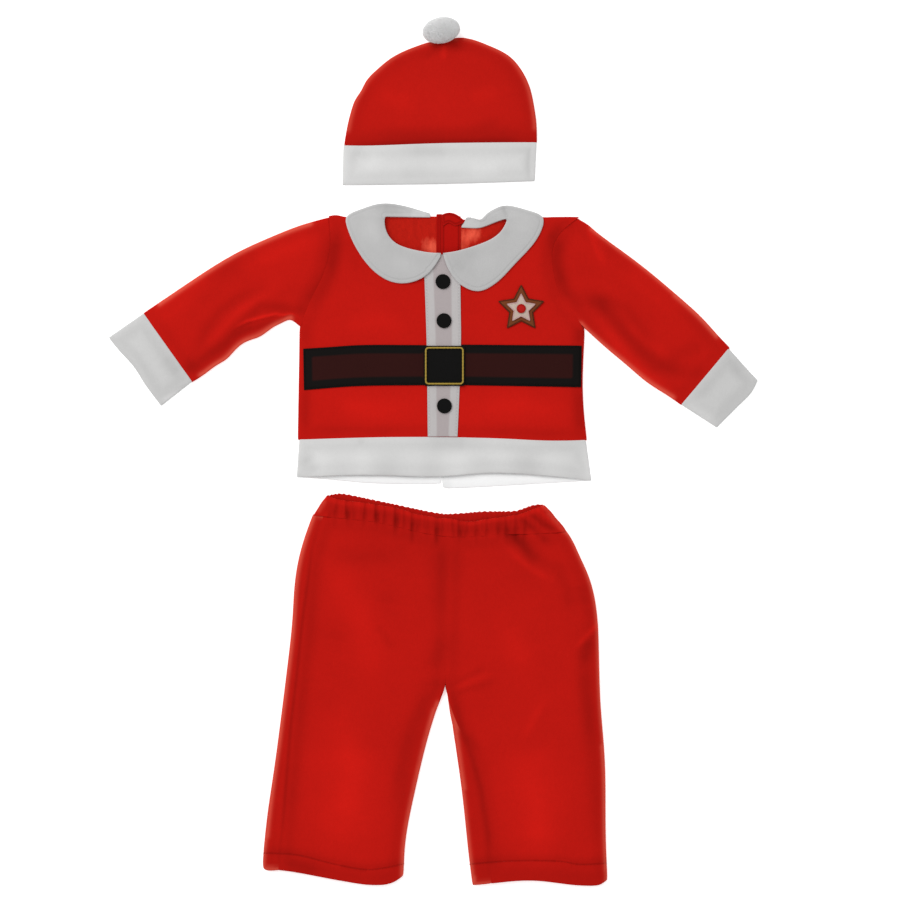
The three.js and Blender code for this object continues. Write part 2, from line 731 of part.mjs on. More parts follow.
/** Outline of a rectangle with rounded corners. */
function roundedRectangle(width, height, corner) {
  const shape = new THREE.Shape();
  const [w, h] = [width / 2, height / 2];
  shape.moveTo(-w + corner, -h).lineTo(w - corner, -h).absarc(w - corner, -h + corner, corner, -Math.PI / 2, 0);
  shape.lineTo(w, h - corner).absarc(w - corner, h - corner, corner, 0, Math.PI / 2);
  shape.lineTo(-w + corner, h).absarc(-w + corner, h - corner, corner, Math.PI / 2, Math.PI);
  shape.lineTo(-w, -h + corner).absarc(-w + corner, -h + corner, corner, Math.PI, 1.5 * Math.PI);
  return shape;
}

function buckle() {
  const width = PLATE.right - PLATE.left;
  const height = PLATE.high - PLATE.low;
  const middle = new THREE.Vector2((PLATE.left + PLATE.right) / 2, (PLATE.low + PLATE.high) / 2);
  const outline = roundedRectangle(width, height, PLATE.corner);
  const plateShape = new THREE.ExtrudeGeometry(outline, {
    depth: PLATE.thickness,
    bevelEnabled: false,
    curveSegments: 3,
  });
  const plate = piece("buckle_plate", plateShape, BLACK);
  plate.position.set(middle.x, middle.y, STRIP_TOP + SEAM);
  const track = roundedRectangle(width - 2 * CORD.inset, height - 2 * CORD.inset, CORD.corner);
  const path = track.getPoints(3).slice(0, -1);
  const sides = 8;
  const rows = path.map((point, k) => {
    const ahead = path[(k + 1) % path.length].clone().sub(path.at(k - 1)).normalize();
    return Array.from({ length: sides }, (_, n) => {
      const turn = (2 * Math.PI * n) / sides;
      const out = CORD.radius * Math.cos(turn);
      return new THREE.Vector3(point.x + ahead.y * out, point.y - ahead.x * out, CORD.radius * Math.sin(turn));
    });
  });
  const cord = piece("buckle_cord", loft(rows), GOLD);
  cord.position.set(middle.x, middle.y, STRIP_TOP + SEAM + PLATE.thickness + SEAM + CORD.radius);
  return [plate, cord];
}

/** A closed ring through closed sections. */
function loft(rows) {
  const sides = rows[0].length;
  const indices = [];
  rows.forEach((_, i) => {
    const next = (i + 1) % rows.length;
    for (let j = 0; j < sides; j++) {
      const k = (j + 1) % sides;
      const [a, b, c, d] = [i * sides + j, i * sides + k, next * sides + k, next * sides + j];
      indices.push(a, d, c, a, c, b);
    }
  });
  return new THREE.BufferGeometry().setFromPoints(rows.flat()).setIndex(indices);
}

/** A flat covered button, domed a little towards its rim. */
function button({ name, x, y }) {
  const { radius, thickness } = BUTTON;
  const profile = [
    [0, 0],
    [radius - 0.3, 0],
    [radius, 0.5 * thickness],
    [radius - 0.6, 0.85 * thickness],
    [0.6 * radius, thickness],
    [0, thickness],
  ].map(([r, z]) => new THREE.Vector2(r, z));
  const disc = new THREE.LatheGeometry(profile, 20).rotateX(Math.PI / 2);
  const mesh = piece(name, disc, BLACK);
  mesh.position.set(x, y, STRIP_TOP + SEAM);
  return mesh;
}

/** A sewn-on motif: a star, a smaller star on it and a dot in the middle. */
function patch() {
  const star = (radius) => {
    const corners = Array.from({ length: 10 }, (_, k) => {
      const reach = k % 2 ? 0.52 * radius : radius;
      const turn = Math.PI / 2 + (k * Math.PI) / 5;
      return new THREE.Vector2(reach * Math.cos(turn), reach * Math.sin(turn));
    });
    return new THREE.Shape(corners);
  };
  const dot = new THREE.Shape().absarc(0, 0, PATCH.dot, 0, 2 * Math.PI);
  const plies = [
    { name: "patch_star", shape: star(PATCH.star), look: BROWN },
    { name: "patch_inset", shape: star(PATCH.inset), look: CREAM },
    { name: "patch_dot", shape: dot, look: RED },
  ];
  return plies.map(({ name, shape, look }, level) => {
    const solid = new THREE.ExtrudeGeometry(shape, { depth: PATCH.ply, bevelEnabled: false, curveSegments: 8 });
    const mesh = piece(name, solid, look);
    mesh.position.set(PATCH.x, PATCH.y, 2 * BEND + PUFF + SEAM + level * (PATCH.ply + SEAM));
    return mesh;
  });
}

/** The strips of the back opening, on the inside of the back, and the tab folded over their top. */
function backOpening() {
  const onBack = () => WALL + SEAM;
  const strips = BACK_STRIPS.map(({ name, left, right, high }) => {
    const low = BACK_STRIP_LOW;
    const layout = (u, v) => new THREE.Vector3(lerp(left, right, u), lerp(low, high, v), 0);
    return laidPiece(name, RED, layout, onBack, 0.9, { steps: 1, rows: 1 });
  });
  const tab = ruled(byRow(TAB_RIBS, "innerX", "innerY"), byRow(TAB_RIBS, "outerX", "outerY"));
  return [...strips, laidPiece("back_tab", RED, tab, () => WALL + 0.9 + 2 * SEAM, 1.2, { steps: 1, rows: 6 })];
}

// ---------- Trousers: origin at the crotch ----------
const CASING_SEAM = [
  { x: -132, y: 171.5 },
  { x: -105, y: 169 },
  { x: -70, y: 165 },
  { x: -48, y: 160.3 },
  { x: -20, y: 153.8 },
  { x: 5, y: 150.4 },
  { x: 35, y: 150.8 },
  { x: 60, y: 152.6 },
  { x: 88, y: 153 },
  { x: 120, y: 155 },
];
const WAIST_FRONT = [
  { x: -120, y: 189 },
  { x: -110, y: 187 },
  { x: -75, y: 178 },
  { x: -45, y: 174 },
  { x: -15, y: 169 },
  { x: 25, y: 166 },
  { x: 55, y: 169 },
  { x: 75, y: 173 },
  { x: 100, y: 180 },
];
const WAIST_BACK = [
  { x: -120, y: 189 },
  { x: -113, y: 191.5 },
  { x: -85, y: 187 },
  { x: -55, y: 181 },
  { x: -5, y: 173.5 },
  { x: 45, y: 175 },
  { x: 78, y: 176.5 },
  { x: 93, y: 183 },
  { x: 100, y: 180 },
];
const WAIST_LEFT = [
  { x: -120, y: 189 },
  { x: -128, y: 177 },
  { x: -132, y: 171.5 },
];
const WAIST_RIGHT = [
  { x: 100, y: 180 },
  { x: 111, y: 167 },
  { x: 120, y: 155 },
];
const WAIST_DEPTH = 18;
const GATHERS = { count: 21, height: 2.2, base: 0.5 };
const OUTER_LEFT = [
  { x: -132, y: 171.5 },
  { x: -145, y: 136 },
  { x: -151, y: 100 },
  { x: -152.5, y: 66 },
  { x: -157, y: 26 },
  { x: -167, y: -54 },
  { x: -178, y: -134 },
  { x: -182.5, y: -180 },
];
const OUTER_RIGHT = [
  { x: 120, y: 155 },
  { x: 134, y: 131 },
  { x: 146, y: 106 },
  { x: 152, y: 76 },
  { x: 154, y: 30 },
  { x: 155, y: -14 },
  { x: 160, y: -74 },
  { x: 160.5, y: -150 },
  { x: 162, y: -192 },
];
const CENTRE_FRONT = [
  { x: 5, y: 150.4 },
  { x: 3, y: 70 },
  { x: 0, y: 0 },
];
const INNER_LEFT = [
  { x: 0, y: 0 },
  { x: -6, y: -14 },
  { x: -18, y: -54 },
  { x: -32, y: -114 },
  { x: -40, y: -154 },
  { x: -41.5, y: -188 },
];
const INNER_RIGHT = [
  { x: 0, y: 0 },
  { x: 3, y: -14 },
  { x: 10, y: -54 },
  { x: 18, y: -114 },
  { x: 23, y: -164 },
  { x: 27, y: -198 },
];
const HEM_LEFT = [
  { x: -182.5, y: -180 },
  { x: -179, y: -183 },
  { x: -162, y: -183 },
  { x: -105, y: -193 },
  { x: -75, y: -197.5 },
  { x: -53, y: -196 },
  { x: -41.5, y: -188 },
];
const HEM_RIGHT = [
  { x: 162, y: -192 },
  { x: 158, y: -197 },
  { x: 135, y: -198 },
  { x: 85, y: -193 },
  { x: 27, y: -198 },
];
const LEG_LENGTH = 350; // from the casing to the hem
const CROTCH_SHARE = 0.43; // share of an inner edge that lies above the crotch
const LEG_CREASES = creases([
  { x: 60, y: 158, toX: 72, toY: 146, width: 7, height: -1.1 },
  { x: 72, y: 146, toX: 100, toY: 126, width: 7, height: -1.1 },
  { x: 62, y: 148, toX: 80, toY: 122, width: 9, height: 2.4 },
  { x: 80, y: 122, toX: 100, toY: 109, width: 9, height: 1.8 },
  { x: 150, y: 62, toX: 134, toY: 41, width: 8, height: 1.8 },
  { x: 140, y: 34, toX: 145, toY: -45, width: 8, height: -1.0 },
  { x: 92, y: -29, toX: 74, toY: -60, width: 9, height: 1.3 },
  { x: 14, y: 18, toX: 45, toY: -16, width: 9, height: 1.2 },
  { x: -9, y: -8, toX: -44, toY: -74, width: 8, height: -1.0 },
  { x: -2, y: 123, toX: -3, toY: 60, width: 8, height: -0.8 },
]);

const legRise = (endFold) => (x, y, a, b, v) => {
  const open = endFold(v) ? smoothstep(b, BEND, PUFF_REACH) : 1;
  const edges = smoothstep(endFold(v) ? Math.min(a, b) : a, 2, 14);
  return PUFF * smoothstep(a, BEND, PUFF_REACH) * open + LEG_CREASES(x, y) * edges;
};

/** Front and back of one leg; wrap says how far the back comes round onto the front, and over which fold. */
function leg(name, { outer, inner, casing, hem, wrap, wrapsOuter }) {
  const endFold = (v) => v > CROTCH_SHARE + 1e-6;
  const lay = {
    plan: plan({ low: casing, high: edge(hem), start: edge(outer), end: inner }),
    bend: BEND,
    wall: WALL,
    startFold: always,
    endFold,
    rise: legRise(endFold),
  };
  const first = (1.5 * SEAM) / LEG_LENGTH;
  const rows = spread(first, { to: CROTCH_SHARE, steps: 6 }, { to: 1, steps: 7 });
  const front = ({ quarter, length }, v) => {
    const [from, to] = wrapsOuter ? [wrap(v), 0] : [0, wrap(v)];
    return spread(
      from + HALF_SEAM,
      { to: from + quarter, steps: 1 },
      { to: length - to - quarter, steps: 14 },
      { to: length - to - HALF_SEAM, steps: 2 },
    );
  };
  const back = ({ quarter, length }, v) => {
    const [from, to] = wrapsOuter ? [wrap(v), 0] : [0, wrap(v)];
    return spread(
      HALF_SEAM - from,
      { to: quarter, steps: wrapsOuter ? 5 : 2 },
      { to: length - quarter, steps: 8 },
      { to: length + to - HALF_SEAM, steps: wrapsOuter ? 2 : 5 },
    );
  };
  return [
    clothWall("leg_front_" + name, RED, lay, { rows, stops: front }),
    clothWall("leg_back_" + name, RED, lay, { side: -1, rows, stops: back }),
  ];
}

function legs() {
  const casing = edge(CASING_SEAM);
  const centre = edge(CENTRE_FRONT);
  const centreShare = 0.535; // where the casing seam crosses the centre front
  const left = leg("left", {
    outer: OUTER_LEFT,
    inner: joined(centre, edge(INNER_LEFT), CROTCH_SHARE),
    casing: stretch(casing, 0, centreShare),
    hem: HEM_LEFT,
    wrap: (v) => 12 + 6 * smoothstep(v, 0.5, 1),
    wrapsOuter: true,
  });
  const right = leg("right", {
    outer: OUTER_RIGHT,
    inner: joined(centre, edge(INNER_RIGHT), CROTCH_SHARE),
    casing: stretch(casing, 1, centreShare),
    hem: HEM_RIGHT,
    wrap: (v) => 20 * smoothstep(v, CROTCH_SHARE, 0.72),
    wrapsOuter: false,
  });
  return [...left, ...right];
}

/** The gathered casing of the waist, one ring round front and back. */
function waistband() {
  const casing = edge(CASING_SEAM);
  const sides = { start: edge(WAIST_LEFT), end: edge(WAIST_RIGHT) };
  const rise = (x, y, a, b) => {
    const share = a / (a + b);
    const phase = GATHERS.count * share + 0.3 * Math.sin(2 * Math.PI * 3.3 * share);
    const wave = 0.5 - 0.5 * Math.cos(2 * Math.PI * phase);
    return (GATHERS.base + GATHERS.height * wave) * smoothstep(Math.min(a, b), TRIM_BEND, 10);
  };
  const lay = {
    plan: plan({ low: edge(WAIST_FRONT), high: casing, ...sides }),
    under: plan({ low: edge(WAIST_BACK), high: casing, ...sides }),
    bend: TRIM_BEND,
    wall: TRIM_WALL,
    startFold: always,
    endFold: always,
    rise,
  };
  const rows = spread(0, { to: 1 - SEAM / WAIST_DEPTH, steps: 2 });
  const stops = ringStops(4 * GATHERS.count, 16);
  return clothWall("waistband", RED, lay, { rows, stops, ring: true });
}

// ---------- The set ----------
const hat = new THREE.Group().add(...hatCrown(), hatBand(), hatPompom());
hat.position.set(HAT_PLACE.x, HAT_PLACE.y, 0);

const top = new THREE.Group().add(
  topFront(),
  topBack("top_back_left", edgeLeft, BACK_TOP_LEFT, { side: 0, centre: CENTRE_SHARE }),
  topBack("top_back_right", edgeRight, BACK_TOP_RIGHT, { side: 1, centre: CENTRE_SHARE }),
  ...sleeve("sleeve_left", "cuff_left", armholeLeft, SLEEVE_LEFT),
  ...sleeve("sleeve_right", "cuff_right", armholeRight, SLEEVE_RIGHT),
  ...hemBand(),
  collarHalf("collar_left", COLLAR_LEFT_RIBS),
  collarHalf("collar_right", COLLAR_RIGHT_RIBS),
  ...frontStrips(),
  ...buckle(),
  ...BUTTONS.map(button),
  ...patch(),
  ...backOpening(),
);

const trousers = new THREE.Group().add(...legs(), waistband());
trousers.position.set(TROUSERS_PLACE.x, TROUSERS_PLACE.y, 0);

const set = new THREE.Group().add(hat, top, trousers);
set.updateMatrixWorld(true);
const box = new THREE.Box3().setFromObject(set, true);
const middle = box.getCenter(new THREE.Vector3());
set.position.set(-middle.x, -middle.y, -box.min.z);

export default set;
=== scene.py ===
"""A baby's winter costume laid flat on a pale floor: hat, back-opening top and trousers.

Each piece of cloth is a thin shell on the form of its own solid: the solid's skin is welded, smoothed and
given its finer creases, seams and gathers. Stitches and the plush of the pompom come from node trees.
Tables of creases are in millimetres, each in its garment's own frame; meshes are in metres.
"""

import logging
import math
from collections.abc import Callable, Sequence
from dataclasses import dataclass, field
from enum import Enum

import bmesh
import bpy
import numpy as np
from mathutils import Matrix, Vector, noise
from mathutils.bvhtree import BVHTree
from mathutils.kdtree import KDTree


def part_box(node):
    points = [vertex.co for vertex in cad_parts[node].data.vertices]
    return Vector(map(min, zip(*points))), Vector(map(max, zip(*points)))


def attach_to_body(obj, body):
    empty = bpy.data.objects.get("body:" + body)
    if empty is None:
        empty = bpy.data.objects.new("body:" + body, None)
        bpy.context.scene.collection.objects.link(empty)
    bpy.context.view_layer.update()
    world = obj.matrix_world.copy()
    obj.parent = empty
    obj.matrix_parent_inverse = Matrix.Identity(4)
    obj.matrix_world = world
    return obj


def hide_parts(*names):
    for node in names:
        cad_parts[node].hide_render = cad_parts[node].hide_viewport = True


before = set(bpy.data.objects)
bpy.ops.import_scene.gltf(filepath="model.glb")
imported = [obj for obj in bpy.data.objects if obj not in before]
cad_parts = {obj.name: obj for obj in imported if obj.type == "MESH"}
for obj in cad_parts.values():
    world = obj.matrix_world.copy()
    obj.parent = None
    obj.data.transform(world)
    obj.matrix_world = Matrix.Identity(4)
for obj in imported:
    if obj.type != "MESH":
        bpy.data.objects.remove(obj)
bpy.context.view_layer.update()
LOG = logging.getLogger("costume")

MM = 0.001
BODY = "root"
FROM_RIM = "from_rim"  # distance of a point from the rim of its piece, in millimetres
LINE = "stitch_line"  # signed distance of a point from the line of stitching on its piece, in millimetres
# Painted shading: below 1 is painted shade in creases, seams and doubled hems, above 1 painted light on
# ridges and lit bands
PAINTED_SHADING = "painted_shading"  # below 1 in a crease, above 1 on a ridge
WORN = "brushed_spot"  # 1 where the inside of the cloth is brushed light
FOLD_RIM_LIGHT = "painted_fold_rim_light"  # share of painted rim light along a fold, where the cloth turns down
FAR = 99.0  # a distance that is as good as none

Points = np.ndarray
Relief = Callable[[Points, Points], Points]
Line = tuple[tuple[float, float], ...]
Nudges = tuple[tuple[float, float, float, float], ...]
Socket = bpy.types.NodeSocket
Tree = bpy.types.NodeTree
Node = bpy.types.Node


# ---------- Creases ----------

CREASE_END = 0.35  # share of its height that a crease keeps at its very ends
CREASE_FADE = 0.22  # share of its length in which it fades

@dataclass(frozen=True)
class Place:
    """Where a garment's own frame lies in the set, in millimetres."""

    x: float
    y: float


HAT_PLACE = Place(7.0, 267.4)
TOP_PLACE = Place(9.0, 11.4)
TROUSERS_PLACE = Place(12.0, -234.6)


@dataclass(frozen=True)
class Crease:
    """A soft ridge or trough along a line, or a soft band of painted shade or painted light.

    Attributes:
        line: the points it runs through, in the garment's frame.
        width: how far from the line it has sunk to a third.
        height: above zero for a ridge, below zero for a trough; for a band of painted light or shade, the
            share of brightness it adds or takes.
        lean: how many times wider it is on the left of the line than on the right.
    """

    line: Line
    width: float
    height: float
    lean: float = 1.0


def smoothstep(values: Points, low: float, high: float) -> Points:
    """Values eased from 0 at low to 1 at high."""
    share = np.clip((values - low) / (high - low), 0.0, 1.0)
    return share * share * (3.0 - 2.0 * share)


Creases = tuple[Crease, ...]


def nearest_on_line(x: Points, y: Points, line: Line) -> tuple[Points, Points, Points]:
    """Distance from a line, the side of it, and how far along it the nearest point is.

    Args:
        x, y: points in the line's frame.
        line: two or more points.

    Returns:
        Distance, side (1 on the left, -1 on the right) and share of the length, for each point.
    """
    lengths = [math.dist(a, b) for a, b in zip(line, line[1:])]
    total = sum(lengths)
    best = np.full(x.shape, 1e9)
    side = np.ones(x.shape)
    along = np.zeros(x.shape)
    done = 0.0
    for (ax, ay), (bx, by), length in zip(line, line[1:], lengths):
        dx, dy = (bx - ax) / length, (by - ay) / length
        reach = (x - ax) * dx + (y - ay) * dy
        t = np.clip(reach, 0.0, length)
        away = np.hypot(x - ax - t * dx, y - ay - t * dy)
        closer = away < best
        best = np.where(closer, away, best)
        side = np.where(closer, np.sign(dx * (y - ay) - dy * (x - ax)), side)
        along = np.where(closer, (done + t) / total, along)
        done += length
    return best, side, along


def crease_height(creases: Sequence[Crease], x: Points, y: Points) -> Points:
    """Height of all creases together at the given points, each fading towards its two ends.

    Args:
        creases: what lies on the cloth.
        x, y: places in the garment's frame, in millimetres.

    Returns:
        The height at each place.
    """
    height = np.zeros(x.shape)
    for crease in creases:
        away, side, along = nearest_on_line(x, y, crease.line)
        width = np.where(side > 0, crease.width * crease.lean, crease.width)
        ends = CREASE_END + (1.0 - CREASE_END) * smoothstep(np.minimum(along, 1.0 - along), 0.0, CREASE_FADE)
        height += crease.height * ends * np.exp(-((away / width) ** 2))
    return height


def of_creases(*creases: Crease) -> Relief:
    """Creases as one function of x and y.

    Args:
        creases: what lies on the cloth.

    Returns:
        A function that gives their height at places x and y.
    """

    def height(x: Points, y: Points) -> Points:
        """Height of the creases."""
        return crease_height(creases, x, y)

    return height


def of_nudges(*nudges: tuple[float, float, float, float]) -> Relief:
    """Soft local shifts as one function of x and y; each has a middle, a radius and an amount.

    Args:
        nudges: x and y of the middle, radius, and amount of each.

    Returns:
        A function that gives the shift at places x and y.
    """

    def shift(x: Points, y: Points) -> Points:
        """The shifts together.

        Args:
            x, y: places in the garment's frame, in millimetres.

        Returns:
            The shift at each place.
        """
        total = np.zeros(np.shape(x))
        for at_x, at_y, radius, amount in nudges:
            total = total + amount * np.exp(-((x - at_x) ** 2 + (y - at_y) ** 2) / radius**2)
        return total

    return shift


def curve_point(rows: Sequence[tuple[float, float]], t: float) -> tuple[float, ...]:
    """A place between the second and third of four points, on the smooth curve through them.

    Args:
        rows: the four points.
        t: 0 at the second, 1 at the third.

    Returns:
        The place.
    """
    made = []
    for a, b, c, d in zip(*rows):
        square = 2 * a - 5 * b + 4 * c - d
        cube = 3 * b - a - 3 * c + d
        made.append(0.5 * (2 * b + (c - a) * t + square * t * t + cube * t * t * t))
    return tuple(made)


def smooth_line(points: Line, step: float = 2.0) -> list[tuple[float, ...]]:
    """A smooth line through points, with a point every few millimetres.

    Args:
        points: the places it runs through.
        step: how far apart the new ones are.

    Returns:
        The places along it, both ends among them.
    """
    rows = [points[0], *points, points[-1]]
    made: list[tuple[float, ...]] = []
    for four in zip(rows, rows[1:], rows[2:], rows[3:]):
        count = max(1, round(math.dist(four[1], four[2]) / step))
        made += [curve_point(four, k / count) for k in range(count)]
    made.append(tuple(points[-1]))
    return made


# ---------- Finishes ----------


GEOMETRY = "NodeSocketGeometry"
MATERIAL = "NodeSocketMaterial"
COLOUR = "NodeSocketColor"
NUMBER = "NodeSocketFloat"
FINE_NAP = (1150.0, 3.0, (1.0, 1.0, 1.0))  # spots to a metre, octaves, stretch along each axis
FLECKS = (330.0, 4.0, (1.0, 0.55, 1.0))
CLOUDS = (26.0, 3.0, (1.0, 1.0, 1.0))
RAGGED = (210.0, 6.0, (1.0, 0.4, 1.0))
NAP_SHARE = 0.45  # of the relief; flecks give the rest


def feed(tree: Tree, socket: Socket, value: object) -> None:
    """Gives an input its value.

    Args:
        tree: the tree it is in.
        socket: the input.
        value: a number, a colour, a vector, an output, or a node for its first output.
    """
    if isinstance(value, Node):
        value = value.outputs[0]
    if isinstance(value, Socket):
        tree.links.new(value, socket)
    elif isinstance(value, tuple) and socket.type == "RGBA":
        socket.default_value = (*value, 1.0)
    else:
        socket.default_value = value


def put(tree: Tree, kind: str, inputs: dict[str | int, object] | None = None, **settings: object) -> Node:
    """A new node.

    Args:
        tree: the tree it goes in.
        kind: its type.
        inputs: values by the name or number of the input.
        settings: its own properties.

    Returns:
        The node.
    """
    node = tree.nodes.new(kind)
    for name, value in settings.items():
        setattr(node, name, value)
    for key, value in (inputs or {}).items():
        feed(tree, node.inputs[key], value)
    return node


def maths(tree: Tree, operation: str, *values: object) -> Socket:
    """The output of a Math node; each value is a number or a socket."""
    return put(tree, "ShaderNodeMath", dict(enumerate(values)), operation=operation).outputs[0]


def scaled(tree: Tree, vector: object, factor: object) -> Socket:
    """A vector or colour times a factor."""
    return put(tree, "ShaderNodeVectorMath", {0: vector, "Scale": factor}, operation="SCALE").outputs[0]


def node_group(name: str, kind: str, inputs: dict[str, object], outputs: dict[str, str]) -> Tree:
    """A node group with named inputs and outputs.

    Args:
        name: the group's name.
        kind: its type of tree.
        inputs: default by socket name, or the socket's type where it has none.
        outputs: socket type by socket name.

    Returns:
        The group, with nothing in it yet.
    """
    kinds = {int: "NodeSocketInt", float: NUMBER, tuple: COLOUR}
    group = bpy.data.node_groups.new(name, kind)
    for socket, default in inputs.items():
        socket_type = default if isinstance(default, str) else kinds[type(default)]
        made = group.interface.new_socket(socket, in_out="INPUT", socket_type=socket_type)
        if default is not socket_type:
            made.default_value = default
    for socket, socket_type in outputs.items():
        group.interface.new_socket(socket, in_out="OUTPUT", socket_type=socket_type)
    return group


def attribute(tree: Tree, name: str) -> Socket:
    """The value of a piece's own attribute."""
    return put(tree, "ShaderNodeAttribute", attribute_name=name).outputs["Fac"]


def spots(tree: Tree, scale: float, detail: float, stretch: tuple[float, float, float]) -> Socket:
    """Noise on the piece's own coordinates, from 0 to 1.

    Args:
        tree: the tree it goes in.
        scale: spots to a metre.
        detail: octaves.
        stretch: scale along each axis.

    Returns:
        The noise's output.
    """
    place = put(tree, "ShaderNodeTexCoord").outputs["Object"]
    mapping = put(tree, "ShaderNodeMapping", {"Vector": place, "Scale": stretch})
    settings = {"Vector": mapping, "Scale": scale, "Detail": detail, "Roughness": 0.6}
    return put(tree, "ShaderNodeTexNoise", settings).outputs["Fac"]


def nap_group() -> Tree:
    """Brushed cloth: a fine nap, small flecks and broad clouds, times the painted light and shade of
    creases.

    Returns:
        The node group.
    """
    inputs = {"Color": (0.5, 0.5, 0.5, 1.0), "Nap": 0.2, "Fleck": 0.1, "Cloud": 0.1}
    tree = node_group("cloth_nap_and_painted_shading", "ShaderNodeTree", inputs, {"Color": COLOUR, "Height": NUMBER})
    given = put(tree, "NodeGroupInput").outputs
    fine = spots(tree, *FINE_NAP)
    fleck = spots(tree, *FLECKS)
    cloud = spots(tree, *CLOUDS)
    factor = attribute(tree, PAINTED_SHADING)
    for texture, strength in ((fine, "Nap"), (fleck, "Fleck"), (cloud, "Cloud")):
        swing = maths(tree, "MULTIPLY", maths(tree, "SUBTRACT", texture, 0.5), given[strength])
        factor = maths(tree, "MULTIPLY", factor, maths(tree, "ADD", swing, 1.0))
    low = maths(tree, "MULTIPLY", fine, NAP_SHARE)
    height = maths(tree, "ADD", low, maths(tree, "MULTIPLY", fleck, 1.0 - NAP_SHARE))
    put(tree, "NodeGroupOutput", {"Color": scaled(tree, given["Color"], factor), "Height": height})
    return tree


def line_group() -> Tree:
    """A sewn line: 1 along the middle of a line at some distance, 0 away from it.

    Returns:
        The node group.
    """
    inputs = {"Distance": FAR, "Offset": 0.0, "Width": 1.0}
    tree = node_group("sewn_line", "ShaderNodeTree", inputs, {"Mask": NUMBER})
    given = put(tree, "NodeGroupInput").outputs
    away = maths(tree, "ABSOLUTE", maths(tree, "SUBTRACT", given["Distance"], given["Offset"]))
    share = maths(tree, "DIVIDE", away, given["Width"])
    drop = maths(tree, "MULTIPLY", maths(tree, "MULTIPLY", share, share), -1.0)
    put(tree, "NodeGroupOutput", {"Mask": maths(tree, "EXPONENT", drop)})
    return tree


def turned_group() -> Tree:
    """A thin strip with turned-in edges: 1 where it is double along its rim, 0 in the single middle.

    Returns:
        The node group.
    """
    tree = node_group("turned_edge", "ShaderNodeTree", {"Hem": 9.0, "Soft": 0.5}, {"Mask": NUMBER})
    given = put(tree, "NodeGroupInput").outputs
    past = maths(tree, "SUBTRACT", given["Hem"], attribute(tree, FROM_RIM))
    share = maths(tree, "ADD", maths(tree, "DIVIDE", past, given["Soft"]), 0.5)
    put(tree, "NodeGroupOutput", {"Mask": put(tree, "ShaderNodeClamp", {"Value": share})})
    return tree


def weave_group() -> Tree:
    """A plain weave of fine threads: its height, from 0 to 1.

    Returns:
        The node group.
    """
    tree = node_group("plain_weave", "ShaderNodeTree", {"Pitch": 0.7}, {"Height": NUMBER})
    pitch = put(tree, "NodeGroupInput").outputs["Pitch"]
    place = put(tree, "ShaderNodeSeparateXYZ", {0: put(tree, "ShaderNodeTexCoord").outputs["Object"]})
    turn = maths(tree, "DIVIDE", 2.0 * math.pi / MM, pitch)
    warp = maths(tree, "SINE", maths(tree, "MULTIPLY", place.outputs["X"], turn))
    weft = maths(tree, "SINE", maths(tree, "MULTIPLY", place.outputs["Y"], turn))
    height = maths(tree, "ADD", maths(tree, "MULTIPLY", maths(tree, "MULTIPLY", warp, weft), 0.5), 0.5)
    put(tree, "NodeGroupOutput", {"Height": height})
    return tree


NAP_AND_SHADING = nap_group()
SEWN_LINE = line_group()
TURNED = turned_group()
WEAVE = weave_group()

Colour = tuple[float, float, float]
FINISHED = "_finish"  # keeps a finish's material apart from the plain one of its slot
BUMP_STRENGTH = 0.8
CLOTH_SPECULAR = 0.06
BRUSH_RAGGED = 1.6  # how far the noise reaches into a brushed spot
BRUSH_LOW = 1.15  # below this, spot and noise together leave the cloth plain


def place_group(tree: Tree, group: Tree, **values: object) -> Node:
    """A node group with its own values; each is a number, a colour or a socket."""
    return put(tree, "ShaderNodeGroup", values, node_tree=group)


def blend_colour(tree: Tree, share: Socket, first: object, second: object) -> Socket:
    """A colour between two, each a colour or a socket."""
    return put(tree, "ShaderNodeMix", {0: share, 6: first, 7: second}, data_type="RGBA").outputs[2]


